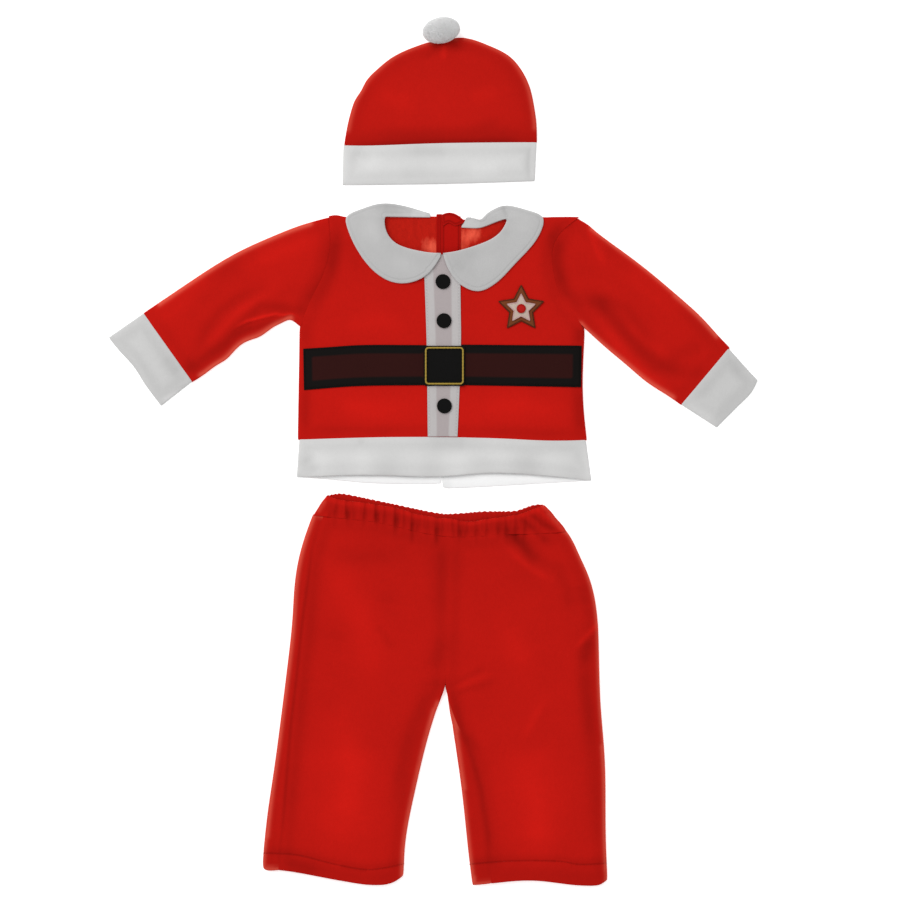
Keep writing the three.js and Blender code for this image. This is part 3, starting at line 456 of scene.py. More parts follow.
@dataclass(frozen=True)
class Finish:
    """A cloth's look.

    Attributes:
        name: the material's name.
        colour: its own colour.
        nap, fleck, cloud: how much it varies, from fine to broad.
        rough: roughness.
        sheen: light that its pile catches at its edges.
        relief: depth of the nap in the bump, in millimetres.
        sewn_at: distance from the rim of a line of stitching, or None.
        sewn_width: width of a line of stitching.
        sewn_tone: tone of the cloth in that line.
        line_tone: the same for a line of stitching across the piece.
        turned: width of a turned-in edge, or None; the middle then has the colour centre.
        turn_soft: how softly the turned-in edge ends.
        brushed: colour of the brushed spots, or None.
        weave: pitch of a woven cloth in millimetres, or None.
        metal: share of metal thread.
        edge: colour of painted rim light, mixed in where the cloth is seen from the side and along its
            folds, or None.
        rim_light_fall: how closely that painted rim light keeps to the edge.
    """

    name: str
    colour: Colour
    nap: float = 0.3
    fleck: float = 0.12
    cloud: float = 0.1
    rough: float = 0.95
    sheen: float = 0.05
    relief: float = 0.35
    sewn_at: float | None = None
    sewn_width: float = 0.9
    sewn_tone: float = 0.7
    line_tone: float = 0.82
    turned: float | None = None
    turn_soft: float = 0.5
    centre: Colour = (0.5, 0.5, 0.5)
    brushed: Colour | None = None
    weave: float | None = None
    metal: float = 0.0
    edge: Colour | None = None
    rim_light_fall: float = 6.0

    def material(self) -> bpy.types.Material:
        """The material, made once and then shared."""
        known = bpy.data.materials.get(self.name + FINISHED)
        return known or self._make()

    def _make(self) -> bpy.types.Material:
        """A new material for this finish.

        Returns:
            The material, with all its nodes.
        """
        made = bpy.data.materials.new(self.name + FINISHED)
        made.use_nodes = True
        made.diffuse_color = (*self.colour, 1.0)
        tree = made.node_tree
        shader = tree.nodes["Principled BSDF"]
        base: object = self.colour
        if self.turned is not None:
            mask = place_group(tree, TURNED, Hem=self.turned, Soft=self.turn_soft).outputs["Mask"]
            base = blend_colour(tree, mask, self.centre, self.colour)
        if self.brushed is not None:
            base = blend_colour(tree, self._brush_mask(tree), base, self.brushed)
        nap = place_group(tree, NAP_AND_SHADING, Color=base, Nap=self.nap, Fleck=self.fleck, Cloud=self.cloud)
        colour, height = self._sewn(tree, nap.outputs["Color"], nap.outputs["Height"])
        if self.weave is not None:
            threads = place_group(tree, WEAVE, Pitch=self.weave).outputs["Height"]
            height = maths(tree, "ADD", height, maths(tree, "MULTIPLY", threads, 0.5))
        # Painted rim light: the edge colour is mixed in where the surface is seen from the side, and along
        # folds
        if self.edge is not None:
            seen = put(tree, "ShaderNodeLayerWeight", {"Blend": 0.5})
            share = maths(tree, "POWER", seen.outputs["Facing"], self.rim_light_fall)
            share = maths(tree, "MINIMUM", maths(tree, "ADD", share, attribute(tree, FOLD_RIM_LIGHT)), 1.0)
            colour = blend_colour(tree, share, colour, self.edge)
        relief = {"Strength": BUMP_STRENGTH, "Distance": self.relief * MM, "Height": height}
        bump = put(tree, "ShaderNodeBump", relief)
        values = {
            "Base Color": colour, "Normal": bump, "Roughness": self.rough, "Metallic": self.metal,
            "Specular IOR Level": CLOTH_SPECULAR, "Sheen Weight": self.sheen, "Sheen Roughness": 0.3,
            "Sheen Tint": (1.0, 1.0, 1.0),
        }
        for name, value in values.items():
            feed(tree, shader.inputs[name], value)
        return made

    def _sewn(self, tree: Tree, colour: Socket, height: Socket) -> tuple[Socket, Socket]:
        """Darkens and sinks the cloth along its lines of stitching.

        Args:
            tree: the material's tree.
            colour, height: the cloth without them.

        Returns:
            Colour and height with them.
        """
        lines = [(attribute(tree, LINE), 0.0, self.line_tone)]
        if self.sewn_at is not None:
            lines.append((attribute(tree, FROM_RIM), self.sewn_at, self.sewn_tone))
        for distance, offset, tone in lines:
            line = place_group(tree, SEWN_LINE, Distance=distance, Offset=offset, Width=self.sewn_width)
            mask = line.outputs["Mask"]
            loss = maths(tree, "MULTIPLY", mask, 1.0 - tone)
            colour = scaled(tree, colour, maths(tree, "SUBTRACT", 1.0, loss))
            height = maths(tree, "SUBTRACT", height, mask)
        return colour, height

    def _brush_mask(self, tree: Tree) -> Socket:
        """Ragged spots where the pile is brushed up.

        Args:
            tree: the material's tree.

        Returns:
            A mask, 1 where the pile is brushed up.
        """
        patchy = maths(tree, "MULTIPLY", spots(tree, *RAGGED), BRUSH_RAGGED)
        ragged = maths(tree, "ADD", attribute(tree, WORN), patchy)
        share = maths(tree, "MAXIMUM", maths(tree, "SUBTRACT", ragged, BRUSH_LOW), 0.0)
        return maths(tree, "MINIMUM", share, 1.0)


RED = (0.475, 0.0075, 0.0042)
# Painted rim light of the red fleece, seen at its edges and along its folds
RED_RIM_LIGHT = (0.95, 0.19, 0.12)


class Look(Enum):
    """The finishes of the costume."""

    RED_FLEECE = Finish("red_fleece", RED, nap=0.2, cloud=0.14, edge=RED_RIM_LIGHT)
    RED_HAT = Finish("red_fleece_hat", (0.445, 0.0075, 0.0042), nap=0.2, cloud=0.14, edge=RED_RIM_LIGHT)
    RED_INSIDE = Finish(
        "red_fleece_inside", (0.44, 0.0105, 0.005), nap=0.5, fleck=0.45, relief=0.6,
        brushed=(0.8, 0.1, 0.055),
    )
    RED_STRIP = Finish("red_strip", (0.4, 0.005, 0.003), sewn_at=1.8, edge=RED_RIM_LIGHT)
    # The edge colours of the white fleece and of the collar are painted rim light
    WHITE_FLEECE = Finish(
        "white_fleece", (0.635, 0.633, 0.628), nap=0.12, fleck=0.07, cloud=0.07, edge=(0.85, 0.85, 0.85),
        rim_light_fall=1.7,
    )
    # A single layer of the white fleece, painted lighter as if lit through from the floor below
    WHITE_LIT_THROUGH = Finish("white_fleece_painted_lit_through", (0.9, 0.9, 0.9), nap=0.06, fleck=0.04, cloud=0.06)
    WHITE_COLLAR = Finish(
        "white_collar", (0.455, 0.452, 0.45), nap=0.1, fleck=0.06, cloud=0.08, sewn_at=3.4, sewn_tone=0.97,
        sewn_width=0.9, edge=(0.85, 0.85, 0.85), rim_light_fall=1.2,
    )
    WHITE_PLUSH = Finish("white_plush", (0.86, 0.86, 0.86), nap=0.1, fleck=0.05, cloud=0.03, sheen=0.1)
    WHITE_STRIP = Finish(
        "white_strip", (0.475, 0.452, 0.45), nap=0.08, fleck=0.05, cloud=0.05, rough=0.8, relief=0.15,
        sewn_at=1.6, sewn_tone=0.88, turned=9.0, centre=(0.395, 0.35, 0.352), weave=0.7, turn_soft=1.6,
    )
    BLACK_STRIP = Finish(
        "black_strip", (0.0055, 0.0046, 0.0042), nap=0.2, fleck=0.15, cloud=0.1, rough=0.75, sheen=0.01,
        relief=0.15, sewn_at=1.6, sewn_tone=0.6, turned=8.6, centre=(0.026, 0.005, 0.0042), weave=0.8,
        turn_soft=2.0,
    )
    BLACK_FELT = Finish("black_felt", (0.006, 0.0058, 0.0056), nap=0.4, fleck=0.3, sheen=0.02, relief=0.4)
    BROWN_FELT = Finish("brown_felt", (0.155, 0.045, 0.016), nap=0.3, fleck=0.25)
    CREAM_FELT = Finish("cream_felt", (0.5, 0.4, 0.34), nap=0.2, fleck=0.15)
    RED_FELT = Finish("red_felt", (0.42, 0.012, 0.01), nap=0.3, fleck=0.2)
    GOLD_CORD = Finish(
        "gold_cord", (0.35, 0.245, 0.045), nap=0.4, fleck=0.3, rough=0.6, sheen=0.0, relief=0.2, metal=0.1,
    )
    RED_THREAD = Finish("red_thread", (0.38, 0.006, 0.0035), nap=0.2, relief=0.1)
    WHITE_THREAD = Finish("white_thread", (0.66, 0.66, 0.66), nap=0.1, relief=0.1)
    BLACK_THREAD = Finish("black_thread", (0.01, 0.009, 0.009), nap=0.2, relief=0.1)
    BROWN_THREAD = Finish("brown_thread", (0.07, 0.018, 0.008), nap=0.2, relief=0.1)
    PINK_THREAD = Finish("pink_thread", (0.56, 0.36, 0.36), nap=0.2, relief=0.1)


# ---------- Cloth from its solid ----------

WELD = 1e-5
RIM_ANGLE = math.radians(62)
RIM_CREASE = 0.45  # keeps a rim's corners for two rounds of smoothing, then softens them
JOIN_FACE_ANGLE = math.radians(40)
JOIN_SHAPE_ANGLE = math.radians(75)
UPPER_LOW = 1.7  # below this height a point is on the lower layer
UPPER_HIGH = 2.7  # above this height it is on the upper layer
RED_FOLD_LIGHT = 0.36  # share of painted rim light along a fold
HAT_FOLD_LIGHT = 0.2
SEAM_WIDTH = 2.2  # reach of the dip along a seam
RISE_SHADING = 0.16  # painted light and shade: how much lighter a crease's cloth is painted for a millimetre of height
# Limits of the painted shade and light of creases and seams
DARKEST = -0.42
LIGHTEST = 0.14
HEM_SHADE = 0.92  # painted shade of the doubled cloth beyond a line of stitching
HEM_DIP = 0.6
ABOVE_HEM = 0.15  # painted shade: how much darker the cloth is painted just before the line
ABOVE_HEM_REACH = 6.0
SIDE_SHADE = -0.08  # painted shade where the cloth turns down towards its folds
SIDE_AT = 8.0
SIDE_REACH = 6.0
FOLD_HEIGHT = 2.4
FOLD_LIGHT_REACH = 2.6  # how far the painted rim light of a fold reaches
SIDE_STEEP = 0.25  # a normal this near to level is on the very side
FOLD_STEEP = 0.45  # a normal this near to level is on a fold
ON_RIM = 0.999  # a point whose rim value is above this was on the rim before smoothing
BROAD_WAVES = (3.7, 46.0)  # pattern and size of the cloth's gentle waves
FINE_WAVES = (9.1, 17.0)
FINE_WAVE_SHARE = 0.3  # height of the fine ones, as a share of the broad ones


@dataclass(frozen=True)
class Cut:
    """The flat size a piece is cut to, in metres, and its area as a share of that rectangle."""

    width: float
    length: float
    share: float = 1.0

    def declare(self, piece: bpy.types.Object, rests_on: Sequence[str]) -> None:
        """Takes a piece and what it lies on, and does nothing with them."""


def flat_relief(x: Points, y: Points) -> Points:
    """No creases."""
    return np.zeros(x.shape)


def uneven(points: Points, seed: float, span: float, height: float) -> Points:
    """Gentle unevenness of cloth that lies by itself.

    Args:
        points: x and y in millimetres, one row each.
        seed: which of many patterns.
        span: size of a wave.
        height: its height.
    """
    return np.array([height * noise.noise(Vector((x / span, y / span, seed))) for x, y in points])


def write_attribute(mesh: bpy.types.Mesh, name: str, values: Points) -> None:
    """Stores one number for each point of a mesh."""
    layer = mesh.attributes.get(name) or mesh.attributes.new(name, "FLOAT", "POINT")
    layer.data.foreach_set("value", np.asarray(values, np.float32))


def plain_attributes(mesh: bpy.types.Mesh) -> None:
    """Gives a mesh the attributes that a finish reads, where it has none.

    Args:
        mesh: the piece's mesh.
    """
    count = len(mesh.vertices)
    for name, value in ((FROM_RIM, FAR), (LINE, FAR), (PAINTED_SHADING, 1.0), (WORN, 0.0), (FOLD_RIM_LIGHT, 0.0)):
        if name not in mesh.attributes:
            write_attribute(mesh, name, np.full(count, value))


def shade_smooth(mesh: bpy.types.Mesh) -> None:
    """Smooth shading on every face."""
    mesh.polygons.foreach_set("use_smooth", [True] * len(mesh.polygons))
    mesh.update()


def link(name: str, mesh: bpy.types.Mesh) -> bpy.types.Object:
    """A new object in the scene, at the origin.

    Args:
        name: its name.
        mesh: its mesh.

    Returns:
        The object.
    """
    made = bpy.data.objects.new(name, mesh)
    bpy.context.scene.collection.objects.link(made)
    return made


def welded(node: str) -> bmesh.types.BMesh:
    """A solid's skin with its loose triangles joined at their points.

    Args:
        node: the solid's name.

    Returns:
        The open mesh, which to_mesh() ends.
    """
    work = bmesh.new()
    work.from_mesh(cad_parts[node].data)
    bmesh.ops.remove_doubles(work, verts=work.verts, dist=WELD)
    return work


def to_mesh(work: bmesh.types.BMesh, name: str) -> bpy.types.Mesh:
    """Ends the work on a mesh and gives it its name.

    Args:
        work: the open mesh.
        name: its name.

    Returns:
        The plain mesh.
    """
    made = bpy.data.meshes.new(name)
    work.to_mesh(made)
    work.free()
    return made


def bake_modifiers(piece: bpy.types.Object) -> None:
    """Turns a piece's modifiers into plain mesh.

    Args:
        piece: the piece, which keeps no modifier.
    """
    bpy.context.view_layer.update()
    graph = bpy.context.evaluated_depsgraph_get()
    made = bpy.data.meshes.new_from_object(piece.evaluated_get(graph))
    piece.modifiers.clear()
    piece.data = made
    made.name = piece.name


def attach(piece: bpy.types.Object, look: Look, slot: str, *nodes: str) -> bpy.types.Object:
    """Gives a piece its finish and its body, and hides the solids that it stands for.

    Args:
        piece: the piece.
        look, slot: its finish; the slot is not used.
        nodes: the solids that it stands for, if any.

    Returns:
        The same piece.
    """
    plain_attributes(piece.data)
    piece.data.materials.clear()
    piece.data.materials.append(look.value.material())
    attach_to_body(piece, BODY)
    if nodes:
        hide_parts(*nodes)
    return piece


@dataclass
class Panel:
    """One piece of cloth, on the form of its own solid.

    Attributes:
        node: the solid's name; the piece is named after it.
        look: its finish.
        slot: the record's slot.
        cut: its flat size.
        rests_on: what it lies on.
        place: its garment's frame.
        relief: creases of its upper layer, as a function of x and y in the garment's frame.
        shade: painted shade and light of its upper layer, how much darker or lighter it is painted, as a
            function of the same.
        under_shade: the same for its lower layer.
        slide, drift: how far its points shift towards +X and +Y, as functions of the same.
        flatten: a height above which its own waves are lowered, and the share of them that stays.
        levels: rounds of smoothing.
        seam_dip: how deep the cloth is drawn in along its rims.
        ease: how far its rims are let out, so that neighbours meet at their seam.
        unevenness: height of its gentle waves.
        fuzz: share of the painted rim light that shows along its folds.
        wraps: whether its low rims are folds too, where it goes round to the other side of a leg.
        line: a line of stitching on it, in the garment's frame.
        sewn_rims: which rims count for turned and sewn edges, as a function of x and y.
        spots: brushed spots as x, y and radius.
        everywhere: whether it has only an upper layer.
        piece: the made piece.
    """

    node: str
    look: Look
    slot: str
    cut: Cut
    rests_on: tuple[str, ...] = ("floor",)
    place: Place = TOP_PLACE
    relief: Relief = flat_relief
    shade: Relief = flat_relief
    under_shade: Relief = flat_relief
    slide: Relief = flat_relief
    drift: Relief = flat_relief
    flatten: tuple[float, float] | None = None
    levels: int = 3
    seam_dip: float = 0.35
    ease: float = 0.2
    unevenness: float = 0.35
    fuzz: float = 0.0
    wraps: bool = False
    line: Line = ()
    sewn_rims: Relief = flat_relief
    spots: tuple[tuple[float, float, float], ...] = ()
    everywhere: bool = False
    piece: bpy.types.Object = field(default=None, init=False)

    def build(self) -> bpy.types.Object:
        """Returns:
            The piece.
        """
        self.piece = link(self.node + "_cloth", self._skin())
        smoothing = self.piece.modifiers.new("smoothing", "SUBSURF")
        smoothing.levels = smoothing.render_levels = self.levels
        bake_modifiers(self.piece)
        self._shape()
        shade_smooth(self.piece.data)
        attach(self.piece, self.look, self.slot, self.node)
        self.cut.declare(self.piece, self.rests_on)
        LOG.info("%s: %d faces", self.piece.name, len(self.piece.data.polygons))
        return self.piece

    def _skin(self) -> bpy.types.Mesh:
        """The solid's skin in four-sided faces, its rims marked and let out a little.

        Returns:
            The mesh, not smoothed yet.
        """
        work = welded(self.node)
        bmesh.ops.join_triangles(
            work,
            faces=work.faces,
            angle_face_threshold=JOIN_FACE_ANGLE,
            angle_shape_threshold=JOIN_SHAPE_ANGLE,
        )
        crease = work.edges.layers.float.new("crease_edge")
        rim = work.verts.layers.float.new("rim")
        sharp = [e for e in work.edges if e.is_manifold and e.calc_face_angle(0.0) > RIM_ANGLE]
        for edge in sharp:
            edge[crease] = RIM_CREASE
            for vert in edge.verts:
                vert[rim] = 1.0
        marked = set(sharp)
        shifts: dict[bmesh.types.BMVert, Vector] = {}
        for face in work.faces:
            if all(v[rim] for v in face.verts) and sum(e in marked for e in face.edges) >= 2:
                for vert in face.verts:
                    shifts[vert] = shifts.get(vert, Vector()) + face.normal
        for vert, shift in shifts.items():
            if shift.length > 0.1:
                vert.co += shift.normalized() * self.ease * MM
        return to_mesh(work, self.node)

    def _shape(self) -> None:
        """Moves the smoothed skin's points, and stores what the finish reads."""
        mesh = self.piece.data
        count = len(mesh.vertices)
        place = np.zeros(count * 3, np.float32)
        mesh.vertices.foreach_get("co", place)
        place = place.reshape(-1, 3).astype(float) / MM
        x, y, z = place[:, 0] - self.place.x, place[:, 1] - self.place.y, place[:, 2]
        if self.flatten:
            level, share = self.flatten
            z = np.where(z > level, level + share * (z - level), z)
        upper = np.ones(count) if self.everywhere else smoothstep(z, UPPER_LOW, UPPER_HIGH)
        rim = np.zeros(count, np.float32)
        mesh.attributes["rim"].data.foreach_get("value", rim)
        seams = (rim > ON_RIM) & ((z > UPPER_HIGH + 0.5) | self.everywhere)
        seam_dip = -self.seam_dip * np.exp(-((distance_to(x, y, seams) / SEAM_WIDTH) ** 2))
        folds = self.relief(x, y)
        # Painted shading: darker in creases and along seams, lighter on ridges, plus the listed bands of
        # painted light and shade
        tone = 1.0 + upper * (np.clip(RISE_SHADING * (folds + seam_dip), DARKEST, LIGHTEST) + self.shade(x, y))
        tone += (1.0 - upper) * self.under_shade(x, y)
        if not self.everywhere:
            from_side = distance_to(x, y, self._turned_down(SIDE_STEEP))
            # Painted shade where the cloth turns down towards its folds
            tone += SIDE_SHADE * upper * np.exp(-(((from_side - SIDE_AT) / SIDE_REACH) ** 2))
            # Painted rim light along the folds, where the cloth turns down
            folds_over = (rim < 0.5) | ((z < FOLD_HEIGHT) & self.wraps)
            from_fold = distance_to(x, y, self._turned_down(FOLD_STEEP) & folds_over)
            write_attribute(mesh, FOLD_RIM_LIGHT, self.fuzz * np.exp(-((from_fold / FOLD_LIGHT_REACH) ** 2)))
        if self.line:
            away, side, _ = nearest_on_line(x, y, smooth_line(self.line))
            write_attribute(mesh, LINE, np.where(upper > 0.5, away * side, FAR))
            folds = folds - HEM_DIP * np.exp(-((away / SEAM_WIDTH) ** 2))
            # Painted shade of the doubled cloth beyond the stitching, and just before the line
            tone *= 1.0 - (1.0 - HEM_SHADE) * smoothstep(-away * side, -1.0, 1.0)
            tone -= ABOVE_HEM * np.exp(-((away / ABOVE_HEM_REACH) ** 2)) * (side > 0)
        flat = place[:, :2]
        waves = uneven(flat, *BROAD_WAVES, self.unevenness)
        waves = waves + uneven(flat, *FINE_WAVES, FINE_WAVE_SHARE * self.unevenness)
        place[:, 0] += self.slide(x, y)
        place[:, 1] += self.drift(x, y)
        place[:, 2] = np.maximum(z + upper * (folds + seam_dip + waves), 0.0)
        mesh.vertices.foreach_set("co", (place * MM).astype(np.float32).ravel())
        sewn = (rim > ON_RIM) & (self.sewn_rims(x, y) >= 0.0)
        write_attribute(mesh, FROM_RIM, distance_to(x, y, sewn))
        write_attribute(mesh, PAINTED_SHADING, tone)
        if self.spots:
            write_attribute(mesh, WORN, self._worn(x, y))
        mesh.update()

    def _worn(self, x: Points, y: Points) -> Points:
        """How much the cloth is brushed up, from the middles of the spots outwards.

        Args:
            x, y: places in the garment's frame, in millimetres.

        Returns:
            A value for each place, about 1 in the middle of a spot.
        """
        worn = np.zeros(x.shape)
        for spot_x, spot_y, radius in self.spots:
            worn += np.exp(-((np.hypot(x - spot_x, y - spot_y) / radius) ** 2))
        return worn

    def _turned_down(self, steep: float) -> Points:
        """Which points lie on the side of a fold, their normals no higher than given.

        Args:
            steep: the most that a normal may rise, where 1 is straight up.

        Returns:
            Whether each point is one of them.
        """
        mesh = self.piece.data
        normals = np.zeros(len(mesh.vertices) * 3, np.float32)
        mesh.vertex_normals.foreach_get("vector", normals)
        return np.abs(normals[2::3]) < steep


def distance_to(x: Points, y: Points, chosen: Points) -> Points:
    """Distance of every point from the nearest chosen one, seen from above.

    Args:
        x, y: all points.
        chosen: which of them count.

    Returns:
        The distances, or FAR where none is chosen.
    """
    if not chosen.any():
        return np.full(x.shape, FAR)
    tree = KDTree(int(chosen.sum()))
    for k in np.flatnonzero(chosen):
        tree.insert((x[k], y[k], 0.0), int(k))
    tree.balance()
    return np.array([tree.find((a, b, 0.0))[2] for a, b in zip(x, y)])


# ---------- Stitching ----------


def stitch_tree() -> Tree:
    """Short stitches along every edge line of a mesh.

    Returns:
        The node group.
    """
    sizes = {"Pitch": 3.0 * MM, "Length": 2.2 * MM, "Thickness": 0.5 * MM, "Slant": 0.0}
    inputs = {"Geometry": GEOMETRY, **sizes, "Thread": MATERIAL}
    tree = node_group("stitch_run", "GeometryNodeTree", inputs, {"Geometry": GEOMETRY})
    given = put(tree, "NodeGroupInput").outputs
    curve = put(tree, "GeometryNodeMeshToCurve", {"Mesh": given["Geometry"]})
    run = put(tree, "GeometryNodeResampleCurve", {"Curve": curve, "Length": given["Pitch"]}, mode="LENGTH")
    stitch = put(tree, "GeometryNodeMeshUVSphere", {"Segments": 6, "Rings": 4, "Radius": 0.5})
    thick = given["Thickness"]
    size = put(tree, "ShaderNodeCombineXYZ", {"X": given["Length"], "Y": thick, "Z": thick})
    slant = put(tree, "ShaderNodeCombineXYZ", {"Z": given["Slant"]})
    sized = put(tree, "GeometryNodeTransform", {"Geometry": stitch, "Scale": size})
    turned = put(tree, "GeometryNodeTransform", {"Geometry": sized, "Rotation": slant})
    tangent = put(tree, "GeometryNodeInputTangent")
    along = put(tree, "FunctionNodeAlignRotationToVector", {"Vector": tangent}, axis="X", pivot_axis="Z")
    placed = {"Points": run, "Instance": turned, "Rotation": along}
    copies = put(tree, "GeometryNodeInstanceOnPoints", placed)
    real = put(tree, "GeometryNodeRealizeInstances", {"Geometry": copies})
    thread = put(tree, "GeometryNodeSetMaterial", {"Geometry": real, "Material": given["Thread"]})
    put(tree, "NodeGroupOutput", {"Geometry": thread})
    return tree


STITCH_RUN = stitch_tree()


def set_inputs(modifier: bpy.types.Modifier, values: dict[str, object]) -> None:
    """Sets a node modifier's inputs by the names of its sockets.

    Args:
        modifier: a node modifier.
        values: value by the name of its socket.
    """
    items = modifier.node_group.interface.items_tree
    sockets = {item.name: item.identifier for item in items if item.in_out == "INPUT"}
    for name, value in values.items():
        modifier[sockets[name]] = value


@dataclass(frozen=True)
class Stitching:
    """A row of stitches, or several alike.

    Attributes:
        name: the piece's name.
        lines: the lines it follows, in the garment's frame.
        ground: the pieces that it lies on.
        look: its thread.
        slot: the record's slot.
        pitch, length, thickness: of a stitch, in millimetres.
        slant: how far each is turned from the line.
        lift: height of a stitch's middle over the cloth.
        smooth: whether the line is a smooth curve through its points.
    """

    name: str
    lines: tuple[Line, ...]
    ground: tuple[bpy.types.Object, ...]
    look: Look
    slot: str
    place: Place = TOP_PLACE
    pitch: float = 3.0
    length: float = 2.3
    thickness: float = 0.45
    slant: float = 0.0
    lift: float = 0.05
    smooth: bool = True

    def build(self) -> bpy.types.Object:
        """Makes the stitches as one mesh.

        Returns:
            The piece.
        """
        trees = [ground_tree(piece) for piece in self.ground]
        points: list[Vector] = []
        edges: list[tuple[int, int]] = []
        for line in self.lines:
            first = len(points)
            for x, y in smooth_line(line) if self.smooth else line:
                at = self._on_ground(trees, x + self.place.x, y + self.place.y)
                if at is not None:
                    points.append(at)
            edges += [(k, k + 1) for k in range(first, len(points) - 1)]
        mesh = bpy.data.meshes.new(self.name)
        mesh.from_pydata(points, edges, [])
        piece = link(self.name, mesh)
        run = piece.modifiers.new("run", "NODES")
        run.node_group = STITCH_RUN
        sizes = {"Pitch": self.pitch * MM, "Length": self.length * MM, "Thickness": self.thickness * MM}
        set_inputs(run, {**sizes, "Slant": self.slant, "Thread": self.look.value.material()})
        bake_modifiers(piece)
        shade_smooth(piece.data)
        return attach(piece, self.look, self.slot)

    def _on_ground(self, trees: list[BVHTree], x: float, y: float) -> Vector | None:
        """The highest point of the ground at a place, or None off it.

        Args:
            trees: the ground's pieces.
            x, y: the place in the set, in millimetres.

        Returns:
            The place of a stitch's middle, in metres.
        """
        found = [tree.ray_cast(Vector((x * MM, y * MM, 0.1)), Vector((0, 0, -1)))[0] for tree in trees]
        heights = [hit.z for hit in found if hit is not None]
        if not heights:
            return None
        return Vector((x * MM, y * MM, max(heights) + self.lift * MM))


def ground_tree(piece: bpy.types.Object) -> BVHTree:
    """A piece's mesh, ready to be met from above."""
    mesh = piece.data
    return BVHTree.FromPolygons([v.co for v in mesh.vertices], [p.vertices for p in mesh.polygons])


# ---------- Hat ----------


def plush_tree() -> Tree:
    """Short locks all over a ball, over the ball itself.

    Returns:
        The node group.
    """
    sizes = {"Density": 1e6, "Length": 2.6 * MM, "Thickness": 0.9 * MM, "Lean": 0.5}
    inputs = {"Geometry": GEOMETRY, **sizes, "Seed": 5, "Pile": MATERIAL}
    tree = node_group("plush_pile", "GeometryNodeTree", inputs, {"Geometry": GEOMETRY})
    given = put(tree, "NodeGroupInput").outputs
    where = {"Mesh": given["Geometry"], "Density": given["Density"], "Seed": given["Seed"]}
    scatter = put(tree, "GeometryNodeDistributePointsOnFaces", where)
    shape = {"Vertices": 4, "Radius Bottom": 0.5, "Radius Top": 0.12, "Depth": 1.0}
    lock = put(tree, "GeometryNodeMeshCone", shape, fill_type="NONE")
    thick = given["Thickness"]
    size = put(tree, "ShaderNodeCombineXYZ", {"X": thick, "Y": thick, "Z": given["Length"]})
    sized = put(tree, "GeometryNodeTransform", {"Geometry": lock, "Scale": size})
    reach = {0: (-1.0, -1.0, -1.0), 1: (1.0, 1.0, 1.0), "Seed": given["Seed"]}
    sway = put(tree, "FunctionNodeRandomValue", reach, data_type="FLOAT_VECTOR")
    swing = scaled(tree, sway, given["Lean"])
    way = put(tree, "ShaderNodeVectorMath", {0: scatter.outputs["Normal"], 1: swing}, operation="ADD")
    upright = put(tree, "FunctionNodeAlignRotationToVector", {"Vector": way}, axis="Z")
    placed = {"Points": scatter, "Instance": sized, "Rotation": upright}
    copies = put(tree, "GeometryNodeInstanceOnPoints", placed)
    real = put(tree, "GeometryNodeRealizeInstances", {"Geometry": copies})
    both = put(tree, "GeometryNodeJoinGeometry")
    for part in (given["Geometry"], real):
        feed(tree, both.inputs[0], part)
    dressed = put(tree, "GeometryNodeSetMaterial", {"Geometry": both, "Material": given["Pile"]})
    put(tree, "NodeGroupOutput", {"Geometry": dressed})
    return tree


